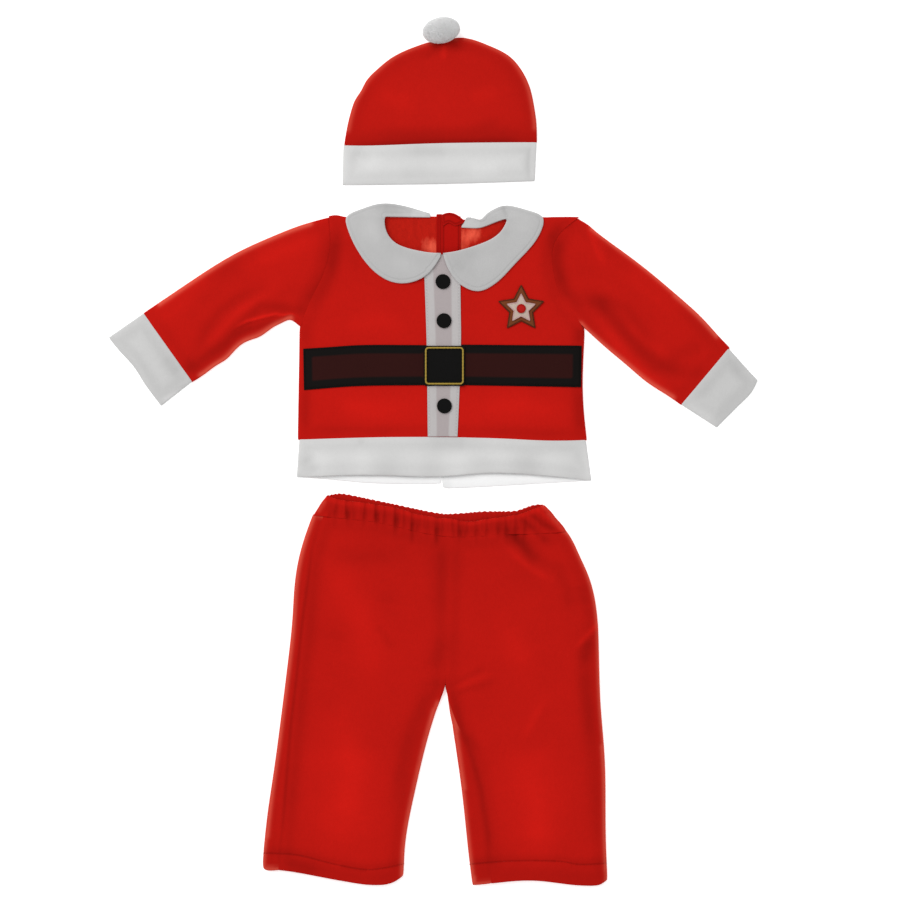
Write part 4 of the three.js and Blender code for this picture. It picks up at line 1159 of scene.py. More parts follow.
@dataclass
class Hat:
    """Domed hat with a turned-up band and a pompom.

    Attributes:
        creases, band_creases: creases of the crown and of the band.
        shades, band_shades: their bands of painted light and shade.
        dome_slide, dome_drift: shifts that round the crown's outline.
        ball_core, ball_drop, ball_bulge: the pompom's ball.
        pile, pile_width, pile_density, pile_lean: its locks; the density is in locks to a square metre.
        floor_gap: how far the lowest locks end above the floor.
    """

    creases: Creases = (
        Crease(((4, 140), (5, 122)), 3, 0.9),
        Crease(((-4, 140), (-6, 131), (-14, 124)), 4, -0.45),
        Crease(((13, 141), (18, 135), (30, 133)), 4.5, -0.4),
        Crease(((-70, 52), (-30, 49), (20, 52), (80, 54)), 6, -0.4),
        Crease(((40, 58), (62, 62)), 5, -0.5),
        Crease(((30, 84), (60, 92)), 9, 0.5),
        Crease(((-60, 88), (-30, 78)), 9, 0.5),
    )
    # Bands of painted light and shade on the crown
    shades: Creases = (
        Crease(((-92, 39), (-60, 38), (0, 41), (60, 41.5), (96, 42.5)), 4.5, -0.27),
        Crease(((-92, 44), (0, 47), (96, 48)), 9, -0.07),
        Crease(((-50, 78), (40, 70)), 30, 0.06),
        Crease(((-9, 138), (4, 136)), 4, -0.06),
        Crease(((10, 138), (20, 140)), 3.5, -0.08),
    )
    band_creases: Creases = (
        Crease(((90, 38), (88, 20), (89, 4)), 2, -0.45),
        Crease(((-60, 30), (-72, 12)), 9, 0.35),
        Crease(((-30, 33), (10, 30)), 8, -0.5),
        Crease(((30, 10), (62, 14)), 8, 0.35),
        Crease(((-40, 8), (-10, 14)), 9, -0.3),
    )
    # Bands of painted light and shade on the band
    band_shades: Creases = (
        Crease(((-88, 34), (-78, 30)), 9, -0.07),
        Crease(((70, 33), (92, 34), (89, 4)), 5, -0.05),
    )
    dome_slide: Nudges = ((-82, 94, 10, 2),)
    dome_drift: Nudges = ((-82, 94, 10, -1.2),)
    ball_core: float = 0.94  # the ball under the pile, as a share of the solid
    ball_drop: float = 1.6  # how far the ball hangs over the crown
    ball_bulge: float = 0.03
    pile: float = 1.7
    pile_width: float = 0.9
    pile_density: float = 5.2e6
    pile_lean: float = 0.7
    floor_gap: float = 0.3

    def build(self) -> list[bpy.types.Object]:
        """Makes the crown, band and pompom.

        Returns:
            The made pieces.
        """
        dome = {
            "look": Look.RED_HAT, "slot": "red_fleece", "cut": Cut(0.194, 0.108, 0.8), "place": HAT_PLACE,
            "slide": of_nudges(*self.dome_slide), "drift": of_nudges(*self.dome_drift), "fuzz": HAT_FOLD_LIGHT,
        }
        back = Panel("hat_crown_back", levels=2, **dome)
        front = Panel(
            "hat_crown_front", ease=0.35, rests_on=("hat_crown_back_cloth",), unevenness=0.6,
            relief=of_creases(*self.creases), shade=of_creases(*self.shades), **dome,
        )
        band = Panel(
            "hat_band", Look.WHITE_FLEECE, "white_fleece", Cut(0.39, 0.041), place=HAT_PLACE, ease=0.35,
            relief=of_creases(*self.band_creases), shade=of_creases(*self.band_shades),
        )
        return [back.build(), front.build(), band.build(), self._pompom()]

    def _pompom(self) -> bpy.types.Object:
        """A plush ball on the form of its solid.

        Returns:
            The piece.
        """
        piece = link("hat_pompom_plush", self._ball())
        pile = piece.modifiers.new("pile", "NODES")
        pile.node_group = PLUSH_PILE
        sizes = {"Density": self.pile_density, "Length": self.pile * MM, "Thickness": self.pile_width * MM}
        plush = Look.WHITE_PLUSH.value.material()
        set_inputs(pile, {**sizes, "Lean": self.pile_lean, "Seed": 11, "Pile": plush})
        bake_modifiers(piece)
        for vert in piece.data.vertices:
            vert.co.z = max(vert.co.z, self.floor_gap * MM)
        shade_smooth(piece.data)
        LOG.info("%s: %d faces", piece.name, len(piece.data.polygons))
        return attach(piece, Look.WHITE_PLUSH, "white_plush", "hat_pompom")

    def _ball(self) -> bpy.types.Mesh:
        """The ball under the pile, turned and stretched as its solid is.

        Returns:
            Its mesh.
        """
        low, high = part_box("hat_pompom")
        middle = (low + high) / 2 - Vector((0.0, self.ball_drop * MM, 0.0))
        points = np.array([v.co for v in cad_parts["hat_pompom"].data.vertices])
        spread = points[:, :2] - points[:, :2].mean(axis=0)
        _, axes = np.linalg.eigh(spread.T @ spread)
        turn = math.atan2(axes[1, 1], axes[0, 1])
        reach = spread @ axes
        half = (np.abs(reach[:, 1]).max(), np.abs(reach[:, 0]).max(), (high.z - low.z) / 2)
        work = bmesh.new()
        bmesh.ops.create_icosphere(work, subdivisions=4, radius=1.0)
        for vert in work.verts:
            bulge = 1.0 + self.ball_bulge * noise.noise(vert.co * 2.3)
            across, along, up = (vert.co[k] * half[k] * self.ball_core * bulge for k in range(3))
            x = across * math.cos(turn) - along * math.sin(turn)
            y = across * math.sin(turn) + along * math.cos(turn)
            vert.co = middle + Vector((x, y, up))
        return to_mesh(work, "hat_pompom_plush")


PLUSH_PILE = plush_tree()


# ---------- Top ----------

CUFF_SHADE = -0.12  # painted shade: the cuffs are painted a little darker than the hem
SHOULDER_LIFT = (-106.0, 223.0, 7.0, 1.6)
FIRM = {"everywhere": True, "seam_dip": 0.0, "unevenness": 0.0}  # of a strip that is sewn down flat
SCALLOPED_FROM = 0.8  # the share of a button's radius outside which its edge is scalloped
BUTTON_PROFILE = (  # shares of a button's radius and thickness, from its base to its middle
    (0.97, 0.0), (1.0, 0.35), (0.99, 0.7), (0.93, 0.93), (0.84, 0.95), (0.78, 0.82), (0.7, 0.9), (0.5, 0.97),
    (0.25, 1.0),
)


@dataclass
class Top:
    """Long-sleeved top that opens down the back, with a round collar, a mock front and a mock belt.

    Attributes:
        armholes: the dips along the armholes, which sleeves and body share.
        body_creases, left_creases, right_creases: creases of the body and of the two sleeves.
        body_shades, left_shades, right_shades, collar_shades, cuff_shades, hem_shades: bands of painted
        light and shade.
        left_roll, right_roll: how the two halves of the collar roll.
        back_hem_shade: the painted shade where the back hem parts.
        brushed_spots: x, y and radius of the spots where the back's inside is brushed up.
        left_drift and the other slides and drifts: small shifts of outlines, towards +X or +Y.
        belt_lines, placket_lines: lines of stitching.
    """

    armholes: Creases = (
        Crease(((-106, 217), (-107, 195), (-111, 170), (-120, 152), (-138, 127)), 9, -1),
        Crease(((122, 214), (113, 200), (113, 175), (120, 150), (134, 136)), 9, -1),
    )
    body_creases: Creases = (
        Crease(((-110, 36), (-70, 30), (-30, 33)), 9, 0.5),
        Crease(((30, 30), (70, 34), (120, 28)), 9, 0.5),
        Crease(((-100, 112), (-60, 118), (-24, 110)), 10, 0.5),
        Crease(((-125, 10), (-60, 8), (-22, 9)), 5, -0.4),
        Crease(((24, 9), (70, 7), (130, 5)), 5, -0.4),
    )
    # Painted light and shade of the body
    body_shades: Creases = (
        Crease(((-109, 200), (-112, 170)), 7, -0.12),
        Crease(((-92, 205), (-84, 165)), 10, -0.07),
        Crease(((122, 216), (112, 203), (113, 180)), 6, -0.14),
        Crease(((-138, 118), (-138, 96)), 7, -0.08),
        Crease(((-136, 52), (-137, 10)), 6, -0.12),
        Crease(((137, 112), (136, 96)), 5, -0.2),
        Crease(((136, 52), (138, 8)), 6, -0.16),
        Crease(((-120, 28), (0, 30), (120, 28)), 28, 0.09),
    )
    left_creases: Creases = (
        Crease(((-139, 128), (-160, 132), (-180, 132.5), (-192, 122), (-202, 112),
                (-214, 98), (-230, 87), (-242, 78), (-252, 71)), 5.5, -1.15, 1.2),
        Crease(((-178, 151), (-202, 140), (-220, 127), (-234, 110), (-242, 95), (-248, 83)), 6, -0.8),
        Crease(((-180, 142), (-202, 128), (-217, 112), (-230, 98)), 4, 0.4),
        Crease(((-143, 119.5), (-154.4, 121.6), (-165.5, 125.3), (-177.5, 122.7), (-193.6, 118.6),
                (-205, 112.6)), 2, 1.5, 0.8),
        Crease(((-150, 115), (-166, 117.5), (-177, 115.5), (-193, 110), (-204, 104)), 3, -0.7),
        Crease(((-230, 168), (-262, 140), (-290, 118)), 11, 0.7),
        Crease(((-128, 205), (-160, 190), (-190, 178)), 12, 0.7),
        Crease(((-190, 176), (-215, 160), (-250, 130)), 9, -0.4),
    )
    left_drift: Nudges = (
        (-150, 119, 8, 5), (-181, 104, 12, -3), (-214, 84, 12, -3.2), (-240, 70, 14, -1.2),
    )
    right_slide: Nudges = (
        (256, 118, 26, 1), (290, 84, 20, 1), (206, 60, 22, -1),
    )
    right_drift: Nudges = (
        (256, 118, 26, 0.8), (290, 84, 20, 0.6), (206, 60, 22, -1.7), (138, 222, 4, -1),
        (148, 215, 6, 0.8),
    )
    # Painted light and shade of the left sleeve
    left_shades: Creases = (
        Crease(((-109, 200), (-112, 170), (-124, 150), (-136, 132)), 6, -0.12),
        Crease(((-246, 80), (-254, 68)), 8, -0.14),
        Crease(((-150, 121), (-165.5, 125.5), (-177.5, 123), (-193.6, 119), (-203, 114)), 1.6, 0.1),
        Crease(((-165, 116), (-195, 106), (-206, 98)), 5, -0.05),
    )
    right_creases: Creases = (
        Crease(((137, 140), (158, 136), (170, 122), (183, 107), (198, 90), (216, 75),
                (236, 68), (254, 67)), 7, -1.35, 1.25),
        Crease(((150, 144), (184, 132), (203, 105), (213, 90)), 6, -0.6),
        Crease(((156, 117), (184, 86), (206, 66), (230, 50)), 6.5, 0.9),
        Crease(((148, 212), (154, 194), (161, 176)), 3.2, 1.3, 1.8),
        Crease(((184, 116), (205, 96), (225, 84)), 6, 0.7),
        Crease(((180, 178), (214, 150), (246, 122)), 12, 0.7),
        Crease(((224, 78), (246, 88), (262, 96)), 8, -0.6),
    )
    # Painted light and shade of the right sleeve
    right_shades: Creases = (
        Crease(((120, 214), (130, 219)), 4.5, -0.24),
        Crease(((118, 204), (112, 180), (121, 150)), 7, -0.12),
        Crease(((146, 140), (166, 132)), 9, -0.1),
        Crease(((134, 190), (142, 160)), 16, -0.05),
        Crease(((160, 106), (200, 66), (228, 42)), 8, 0.07),
    )
    # Painted light and shade of the collar
    collar_shades: Creases = (
        Crease(((-60, 232), (-62, 218), (-54, 196)), 6, -0.05),
        Crease(((-50, 190), (-20, 178), (-4, 180)), 7, -0.04),
        Crease(((-60, 206), (-84, 212)), 12, 0.04),
        Crease(((10, 176), (24, 170)), 6, -0.07),
        Crease(((4, 184), (40, 186)), 9, -0.05),
        Crease(((64, 236), (66, 216), (60, 200)), 6, -0.07),
        Crease(((84, 226), (80, 206)), 8, 0.05),
        Crease(((-60, 233), (-42, 228)), 6, -0.09),
        Crease(((-32, 228), (-14, 226)), 7, 0.16),
        Crease(((24, 218), (38, 214)), 7, 0.12),
    )
    # Painted light and shade of the cuffs
    cuff_shades: Creases = (
        Crease(((-277, 84), (-262, 66)), 9, -0.06),
        Crease(((-316, 94), (-292, 50)), 3, 0.04),
        Crease(((-252, 57), (-266, 50), (-282, 43)), 2, -0.05),
        Crease(((-262, 46), (-280, 40)), 6, 0.07),
        Crease(((290, 82), (300, 66)), 9, -0.05),
        Crease(((246, 40), (272, 18)), 9, 0.1),
    )
    # Painted light and shade of the hem band
    hem_shades: Creases = (
        Crease(((-16, 0), (28, 0)), 12, -0.08),
        Crease(((-137, -16), (-126, -34)), 8, -0.1),
        Crease(((-84, 0), (-78, -4)), 4, -0.06),
        Crease(((90, -2), (140, -4)), 6, -0.05),
        Crease(((-90, -24), (-30, -28)), 10, 0.03),
    )
    brushed_spots: tuple[tuple[float, float, float], ...] = (
        (-12, 196, 8),
        (-9, 188, 7),
        (24, 203, 9),
        (34, 208, 8),
        (19, 192, 5),
    )

    left_roll: Creases = (
        Crease(((-58, 196), (-68, 206), (-72, 222)), 8, 0.3),
        Crease(((-30, 175), (-50, 176)), 9, 0.3),
    )
    right_roll: Creases = (
        Crease(((61, 235), (62, 224), (61.5, 214)), 2.6, -0.7),
        Crease(((66, 234), (69, 220), (70, 206)), 7, 0.35),
        Crease(((30, 172), (54, 180)), 9, 0.3),
    )
    # Painted shade where the back hem parts
    back_hem_shade: Crease = Crease(((3, -38), (3, -50)), 4, -0.14)
    back_drift: Nudges = (
        (-8, 222, 5, 1.8), (-30, 222, 16, 0.9), (-52, 222, 10, 0.9), SHOULDER_LIFT,
    )
    hem_drift: Nudges = ((-70, -38, 40, 1), (62, -36, 36, 1.5))
    left_cuff_slide: Nudges = ((-313, 70, 17, 1.9),)
    left_cuff_drift: Nudges = ((-313, 70, 17, 1.4),)
    right_cuff_slide: Nudges = ((307, 48, 12, 1.6),)
    collar_slide: Nudges = ((24, 212, 5.5, -4.5), (62, 220, 9, 3))
    collar_drift: Nudges = ((39, 223, 5, -2.6), (23, 224, 3, -1.5))
    belt_lines: tuple[Line, ...] = (
        ((-136.6, 89.3), (-115, 90.6), (-84, 92.8), (-20, 92.9)),
        ((-136, 51.9), (-86, 55.8), (-20, 56.7)),
        ((24.5, 93.2), (134.9, 92.3)),
        ((24.5, 56.8), (134.4, 54.8)),
    )
    placket_lines: tuple[Line, ...] = (
        ((-12.4, 5), (-12.6, 20), (-13.4, 52)),
        ((13.8, 5), (14.4, 20), (16.2, 52)),
        ((-13.4, 96), (-14.4, 125), (-16, 166)),
        ((17.4, 96), (16.9, 125), (16.6, 162)),
    )
    cord_spread: float = 1.1  # how far outside its solid's middle line the cord lies
    cord_share: float = 0.82  # its thickness, as a share of the solid's
    cord_corner: float = 2.8
    cord_lay: float = 3.4  # length in which its strands turn round once
    cord_step: float = 0.35
    cord_sides: int = 14
    cord_lobe: float = 0.2  # depth of the groove between its strands, as a share of its radius
    scallops: int = 26  # round a button
    scallop_depth: float = 0.022

    def body_relief(self, x: Points, y: Points) -> Points:
        """Creases of the front, which all that lies on it shares."""
        calm = smoothstep(np.abs(x), 24.0, 60.0)
        return crease_height((*self.body_creases, *self.armholes), x, y) * (0.25 + 0.75 * calm)

    def trim_relief(self, x: Points, y: Points) -> Points:
        """Soft waves along the hem band."""
        return 0.5 * np.sin(x / 11.0) * np.sin(x / 23.0 + 1.0) * smoothstep(-y, 4.0, 24.0)

    def placket_sides(self, x: Points, y: Points) -> Points:
        """Above zero at the placket's long sides, below zero at its two ends."""
        return np.minimum(y - 7.0, 175.0 - y)

    def placket_drift(self, x: Points, y: Points) -> Points:
        """Brings the placket's top end up under the collar."""
        return 5.0 * smoothstep(y, 166.0, 181.0)

    def belt_sides(self, x: Points, y: Points) -> Points:
        """Above zero on the belt's rims, below zero at the ends that meet the buckle."""
        return np.abs(x - 2.0) - 23.5

    def belt_slide(self, x: Points, y: Points) -> Points:
        """Brings the belt's right end out to the side of the body."""
        return 2.8 * smoothstep(x, 96.0, 134.0)

    def body_slide(self, x: Points, y: Points) -> Points:
        """Lets the body out a little at its two sides."""
        return 1.0 * smoothstep(x, 112.0, 140.0) - 1.3 * smoothstep(-x, 110.0, 142.0)

    def collar_outside(self, x: Points, y: Points) -> Points:
        """Above zero at the collar's outer edge, below zero at its neck edge."""
        around = ((x - 3.0) / 62.0) ** 2 + ((y - 222.0) / 37.0) ** 2
        return np.maximum(around - 1.2, (y - 222.8) * 0.1)

    def cuff_shade(self, x: Points, y: Points) -> Points:
        """Painted light and shade of the cuffs."""
        return crease_height(self.cuff_shades, x, y) + CUFF_SHADE

    def collar_left_relief(self, x: Points, y: Points) -> Points:
        """The left collar's soft roll over the shoulder."""
        return self.body_relief(x, y) + crease_height(self.left_roll, x, y)

    def collar_right_relief(self, x: Points, y: Points) -> Points:
        """The right collar's roll, with its crease at the shoulder."""
        return self.body_relief(x, y) + crease_height(self.right_roll, x, y)

    def build(self) -> list[bpy.types.Object]:
        """Makes the panels, then what is sewn on them.

        Returns:
            The made pieces.
        """
        panels = [*self._body(), *self._sleeves(), *self._hem(), *self._back_opening(), *self._front_trims()]
        made = [panel.build() for panel in panels]
        by_name = {piece.name: piece for piece in made}
        made += self._buckle()
        made += [self._button(name) for name in ("button_top", "button_middle", "button_lower")]
        made += self._patch()
        made += self._stitching(by_name)
        return made

    def _body(self) -> list[Panel]:
        """The two backs and the front.

        Returns:
            The panels, not built yet.
        """
        inside = {
            "look": Look.RED_INSIDE, "slot": "red_fleece", "levels": 2, "spots": self.brushed_spots,
            "slide": self.body_slide, "fuzz": RED_FOLD_LIGHT,
        }
        return [
            Panel("top_back_left", cut=Cut(0.143, 0.223, 0.92), drift=of_nudges(*self.back_drift), **inside),
            Panel("top_back_right", cut=Cut(0.144, 0.225, 0.9), **inside),
            Panel("top_front", Look.RED_FLEECE, "red_fleece", Cut(0.288, 0.225, 0.83),
                  rests_on=("top_back_left_cloth", "top_back_right_cloth"), relief=self.body_relief,
                  shade=of_creases(*self.body_shades), unevenness=0.3, ease=0.4, seam_dip=0.1,
                  slide=self.body_slide, drift=of_nudges(SHOULDER_LIFT), fuzz=RED_FOLD_LIGHT),
        ]

    def _sleeves(self) -> list[Panel]:
        """The sleeves and their cuffs.

        Returns:
            The panels, not built yet.
        """
        sleeve = {
            "look": Look.RED_FLEECE, "slot": "red_fleece", "ease": 0.4, "unevenness": 0.6, "seam_dip": 0.1,
            "fuzz": RED_FOLD_LIGHT,
        }
        cuff = {
            "look": Look.WHITE_FLEECE, "slot": "white_fleece", "ease": 0.35, "unevenness": 0.6,
            "seam_dip": 0.15, "shade": self.cuff_shade,
        }
        return [
            Panel("sleeve_left", cut=Cut(0.24, 0.2, 0.63),
                  relief=of_creases(*self.left_creases, self.armholes[0]),
                  shade=of_creases(*self.left_shades), drift=of_nudges(*self.left_drift), **sleeve),
            Panel("sleeve_right", cut=Cut(0.24, 0.2, 0.66),
                  relief=of_creases(*self.right_creases, self.armholes[1]),
                  shade=of_creases(*self.right_shades), slide=of_nudges(*self.right_slide),
                  drift=of_nudges(*self.right_drift), **sleeve),
            Panel("cuff_left", cut=Cut(0.176, 0.042, 0.97), slide=of_nudges(*self.left_cuff_slide),
                  drift=of_nudges(*self.left_cuff_drift), **cuff),
            Panel("cuff_right", cut=Cut(0.154, 0.042, 0.94), slide=of_nudges(*self.right_cuff_slide),
                  **cuff),
        ]

    def _hem(self) -> list[Panel]:
        """The hem band's three lengths.

        Returns:
            The panels, not built yet.
        """
        thin = {"look": Look.WHITE_LIT_THROUGH, "slot": "white_fleece", "levels": 2, "unevenness": 0.2}
        tone = of_creases(self.back_hem_shade)
        return [
            Panel("hem_back_left", cut=Cut(0.146, 0.047, 0.96), **thin),
            Panel("hem_back_right", cut=Cut(0.15, 0.05, 0.93), shade=tone, under_shade=tone, **thin),
            Panel("hem_front", Look.WHITE_FLEECE, "white_fleece", Cut(0.296, 0.04, 0.96),
                  rests_on=("hem_back_left_cloth", "hem_back_right_cloth"), relief=self.trim_relief,
                  shade=of_creases(*self.hem_shades), ease=0.35, unevenness=0.6,
                  drift=of_nudges(*self.hem_drift)),
        ]

    def _back_opening(self) -> list[Panel]:
        """The two strips of the back opening and its tab.

        Returns:
            The panels, not built yet.
        """
        strip = {"look": Look.RED_STRIP, "slot": "red_fleece", **FIRM}
        return [
            Panel("back_placket_left", cut=Cut(0.01, 0.222, 0.52), rests_on=("top_back_left_cloth",),
                  levels=2, ease=0.8, **strip),
            Panel("back_placket_right", cut=Cut(0.018, 0.219), rests_on=("top_back_right_cloth",),
                  levels=2, ease=0.8, **strip),
            Panel("back_tab", cut=Cut(0.022, 0.0125, 0.85), rests_on=("back_placket_right_cloth",), **strip),
        ]

    def _front_trims(self) -> list[Panel]:
        """The placket, the belt and the collar, which lie on the front.

        Returns:
            The panels, not built yet.
        """
        front = {"rests_on": ("top_front_cloth",)}
        laid = {**front, "relief": self.body_relief, **FIRM}
        belt = {"look": Look.BLACK_STRIP, "slot": "black_strip", "sewn_rims": self.belt_sides, **laid}
        collar = {
            "look": Look.WHITE_COLLAR, "slot": "white_fleece", "everywhere": True, "seam_dip": 0.0,
            "shade": of_creases(*self.collar_shades), "sewn_rims": self.collar_outside, **front,
        }
        return [
            Panel("placket", Look.WHITE_STRIP, "white_strip", Cut(0.036, 0.177, 0.95),
                  sewn_rims=self.placket_sides, drift=self.placket_drift, **laid),
            Panel("belt_left", cut=Cut(0.124, 0.041, 0.98), **belt),
            Panel("belt_right", cut=Cut(0.117, 0.042, 0.98), slide=self.belt_slide, **belt),
            Panel("collar_left", cut=Cut(0.14, 0.04, 0.82), relief=self.collar_left_relief, **collar),
            Panel("collar_right", cut=Cut(0.15, 0.045, 0.74), relief=self.collar_right_relief,
                  slide=of_nudges(*self.collar_slide), drift=of_nudges(*self.collar_drift), **collar),
        ]

    def _rounded_copy(self, node: str, bevel: float, look: Look, slot: str, cut: Cut) -> bpy.types.Object:
        """A firm piece of felt on the form of its solid, its edges softened.

        Args:
            node: the solid.
            bevel: how far its edges are rounded, in millimetres.
            look, slot: its finish and the record's slot.
            cut: its flat size.

        Returns:
            The piece, which lies on the front.
        """
        work = welded(node)
        bmesh.ops.dissolve_limit(work, angle_limit=math.radians(1.0), verts=work.verts, edges=work.edges)
        piece = link(node + "_felt", to_mesh(work, node + "_felt"))
        edge = piece.modifiers.new("edge", "BEVEL")
        edge.width = bevel * MM
        edge.segments = 3
        edge.limit_method = "ANGLE"
        edge.angle_limit = math.radians(50)
        bake_modifiers(piece)
        shade_smooth(piece.data)
        attach(piece, look, slot, node)
        cut.declare(piece, ("top_front_cloth",))
        return piece

    def _buckle(self) -> list[bpy.types.Object]:
        """The black plate and its gold cord, two strands laid round each other.

        Returns:
            The two pieces.
        """
        plate = self._rounded_copy("buckle_plate", 0.45, Look.BLACK_FELT, "black_felt", Cut(0.041, 0.04))
        low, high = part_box("buckle_cord")
        middle = (low + high) / 2
        radius = (high.z - low.z) / 2
        half_width = (high.x - low.x) / 2 - radius + self.cord_spread * MM
        half_height = (high.y - low.y) / 2 - radius + self.cord_spread * MM
        radius *= self.cord_share
        track = rounded_track(half_width, half_height, self.cord_corner * MM, self.cord_step * MM)
        total = sum((b - a).length for a, b in zip(track, track[1:] + track[:1]))
        turns = round(total / (self.cord_lay * MM))
        points: list[Vector] = []
        done = 0.0
        for k, point in enumerate(track):
            following = track[(k + 1) % len(track)]
            ahead = (following - track[k - 1]).normalized()
            out = Vector((ahead.y, -ahead.x, 0.0))
            for n in range(self.cord_sides):
                angle = 2.0 * math.pi * n / self.cord_sides
                round_lobe = abs(math.cos(angle - math.pi * turns * done / total))
                reach = radius * (1.0 - self.cord_lobe + self.cord_lobe * round_lobe)
                rise = Vector((0, 0, reach * math.sin(angle)))
                points.append(middle + point + out * reach * math.cos(angle) + rise)
            done += (following - point).length
        cord = link("buckle_cord_gold", ring_mesh("buckle_cord_gold", points, self.cord_sides))
        shade_smooth(cord.data)
        return [plate, attach(cord, Look.GOLD_CORD, "gold_cord", "buckle_cord")]

    def _button(self, node: str) -> bpy.types.Object:
        """A flat felt button with a scalloped edge.

        Args:
            node: its solid.

        Returns:
            The piece.
        """
        low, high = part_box(node)
        middle = (low + high) / 2
        radius = (high.x - low.x) / 2
        thick = high.z - low.z
        columns = self.scallops * 4
        work = bmesh.new()
        rings = []
        for share, rise in BUTTON_PROFILE:
            ring = []
            for k in range(columns):
                angle = 2.0 * math.pi * k / columns
                notch = 1.0 - abs(math.sin(self.scallops * angle / 2.0))
                reach = radius * share * (1.0 - self.scallop_depth * notch * (share > SCALLOPED_FROM))
                x = middle.x + reach * math.cos(angle)
                y = middle.y + reach * math.sin(angle)
                ring.append(work.verts.new((x, y, low.z + thick * rise)))
            rings.append(ring)
        for lower, upper in zip(rings, rings[1:]):
            for k in range(columns):
                n = (k + 1) % columns
                work.faces.new((lower[k], lower[n], upper[n], upper[k]))
        work.faces.new(rings[-1])
        work.faces.new(rings[0][::-1])
        piece = link(node + "_felt", to_mesh(work, node + "_felt"))
        shade_smooth(piece.data)
        return attach(piece, Look.BLACK_FELT, "black_felt", node)

    def _patch(self) -> list[bpy.types.Object]:
        """A plain star, a smaller one and a dot, each in felt and oversewn round its edge.

        Returns:
            The made pieces.
        """
        plies = (
            ("patch_star", Look.BROWN_FELT, "brown_felt", Look.BROWN_THREAD, Cut(0.046, 0.043, 0.485)),
            ("patch_inset", Look.CREAM_FELT, "cream_felt", Look.PINK_THREAD, Cut(0.029, 0.027, 0.5)),
            ("patch_dot", Look.RED_FELT, "red_felt", Look.RED_THREAD, Cut(0.01, 0.01, 0.785)),
        )
        oversewn = {
            "place": Place(0.0, 0.0), "pitch": 0.62, "length": 1.9, "thickness": 0.5,
            "slant": math.pi / 2 - 0.15, "lift": 0.0, "smooth": False,
        }
        made = []
        for node, look, slot, thread, cut in plies:
            felt = self._rounded_copy(node, 0.3, look, slot, cut)
            outline = outline_above(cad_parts[node], 0.7)
            stitches = Stitching(node + "_oversewing", (outline,), (felt,), thread, slot, **oversewn)
            made += [felt, stitches.build()]
        return made

    def _stitching(self, cloth: dict[str, bpy.types.Object]) -> list[bpy.types.Object]:
        """Lines of stitching on the belt and the placket.

        Args:
            cloth: the top's pieces by name.

        Returns:
            The made pieces.
        """
        belts = (cloth["belt_left_cloth"], cloth["belt_right_cloth"])
        strip = (cloth["placket_cloth"],)
        rows = (
            Stitching("belt_stitches", self.belt_lines, belts, Look.BLACK_THREAD, "black_strip"),
            Stitching("placket_stitches", self.placket_lines, strip, Look.WHITE_THREAD, "white_strip"),
        )
        return [row.build() for row in rows]


def rounded_track(half_width: float, half_height: float, corner: float, step: float) -> list[Vector]:
    """Points round a rectangle with rounded corners, about a step apart.

    Args:
        half_width, half_height: of the rectangle.
        corner: radius of its corners.
        step: distance between points.

    Returns:
        The places, in order round it.
    """
    points: list[Vector] = []
    centres = ((1, -1), (1, 1), (-1, 1), (-1, -1))
    arc = max(4, round(corner * math.pi / 2 / step))
    corners = []
    for k, (sx, sy) in enumerate(centres):
        centre = Vector((sx * (half_width - corner), sy * (half_height - corner), 0.0))
        start = -math.pi / 2 + k * math.pi / 2
        angles = [start + math.pi / 2 * n / arc for n in range(arc + 1)]
        corners.append([centre + corner * Vector((math.cos(a), math.sin(a), 0.0)) for a in angles])
    for k, turn in enumerate(corners):
        points += turn
        following = corners[(k + 1) % 4][0]
        count = max(1, round((following - turn[-1]).length / step))
        points += [turn[-1].lerp(following, n / count) for n in range(1, count)]
    return points


def ring_mesh(name: str, points: Sequence[Vector], sides: int) -> bpy.types.Mesh:
    """A closed ring through sections of so many points each.

    Args:
        name: its name.
        points: the sections, one after another.
        sides: how many points each section has.

    Returns:
        The mesh, its faces pointing out.
    """
    rows = len(points) // sides
    faces = []
    for i in range(rows):
        for j in range(sides):
            a, b = i * sides + j, i * sides + (j + 1) % sides
            n = ((i + 1) % rows) * sides
            faces.append((a, b, n + (j + 1) % sides, n + j))
    loose = bpy.data.meshes.new(name)
    loose.from_pydata(points, [], faces)
    work = bmesh.new()
    work.from_mesh(loose)
    bmesh.ops.recalc_face_normals(work, faces=work.faces)
    bpy.data.meshes.remove(loose)
    return to_mesh(work, name)


def outline_above(node: bpy.types.Object, inset: float) -> Line:
    """The outline of a flat solid's top face, in millimetres, drawn in a little and closed.

    Args:
        node: the solid.
        inset: how far inside the edge the line runs.

    Returns:
        The places along it, the first one again at the end.
    """
    places = {(round(v.co.x / MM, 2), round(v.co.y / MM, 2)) for v in node.data.vertices}
    middle = (sum(x for x, _ in places) / len(places), sum(y for _, y in places) / len(places))
    around = sorted(places, key=lambda p: math.atan2(p[1] - middle[1], p[0] - middle[0]))
    drawn = []
    for x, y in around:
        reach = math.dist((x, y), middle)
        share = 1.0 - inset / reach
        drawn.append((middle[0] + (x - middle[0]) * share, middle[1] + (y - middle[1]) * share))
    return (*drawn, drawn[0])


# ---------- Trousers ----------

BACK_CASING_SHADE = -0.16  # painted shade of the casing's lower layer, seen past the upper one
RIPPLE_HEIGHT = 0.12  # of the fine ripples that the elastic draws in the casing
# Painted shade that follows the fine ripples of the casing's lower layer
RIPPLE_SHADE = 0.05
SCALLOP_REACH = 2.4
# Painted light along the casing's front top edge
RIM_LIGHT = 0.14


def along_table(x: Points | float, table: Line) -> Points:
    """The value that a table of places and values has at x."""
    places, values = zip(*table)
    return np.interp(x, places, values)


def ripple(x: Points) -> Points:
    """Fine uneven ripples along x, from -1 to 1."""
    return np.sin(1.3 * x + 0.7 * np.sin(0.31 * x))


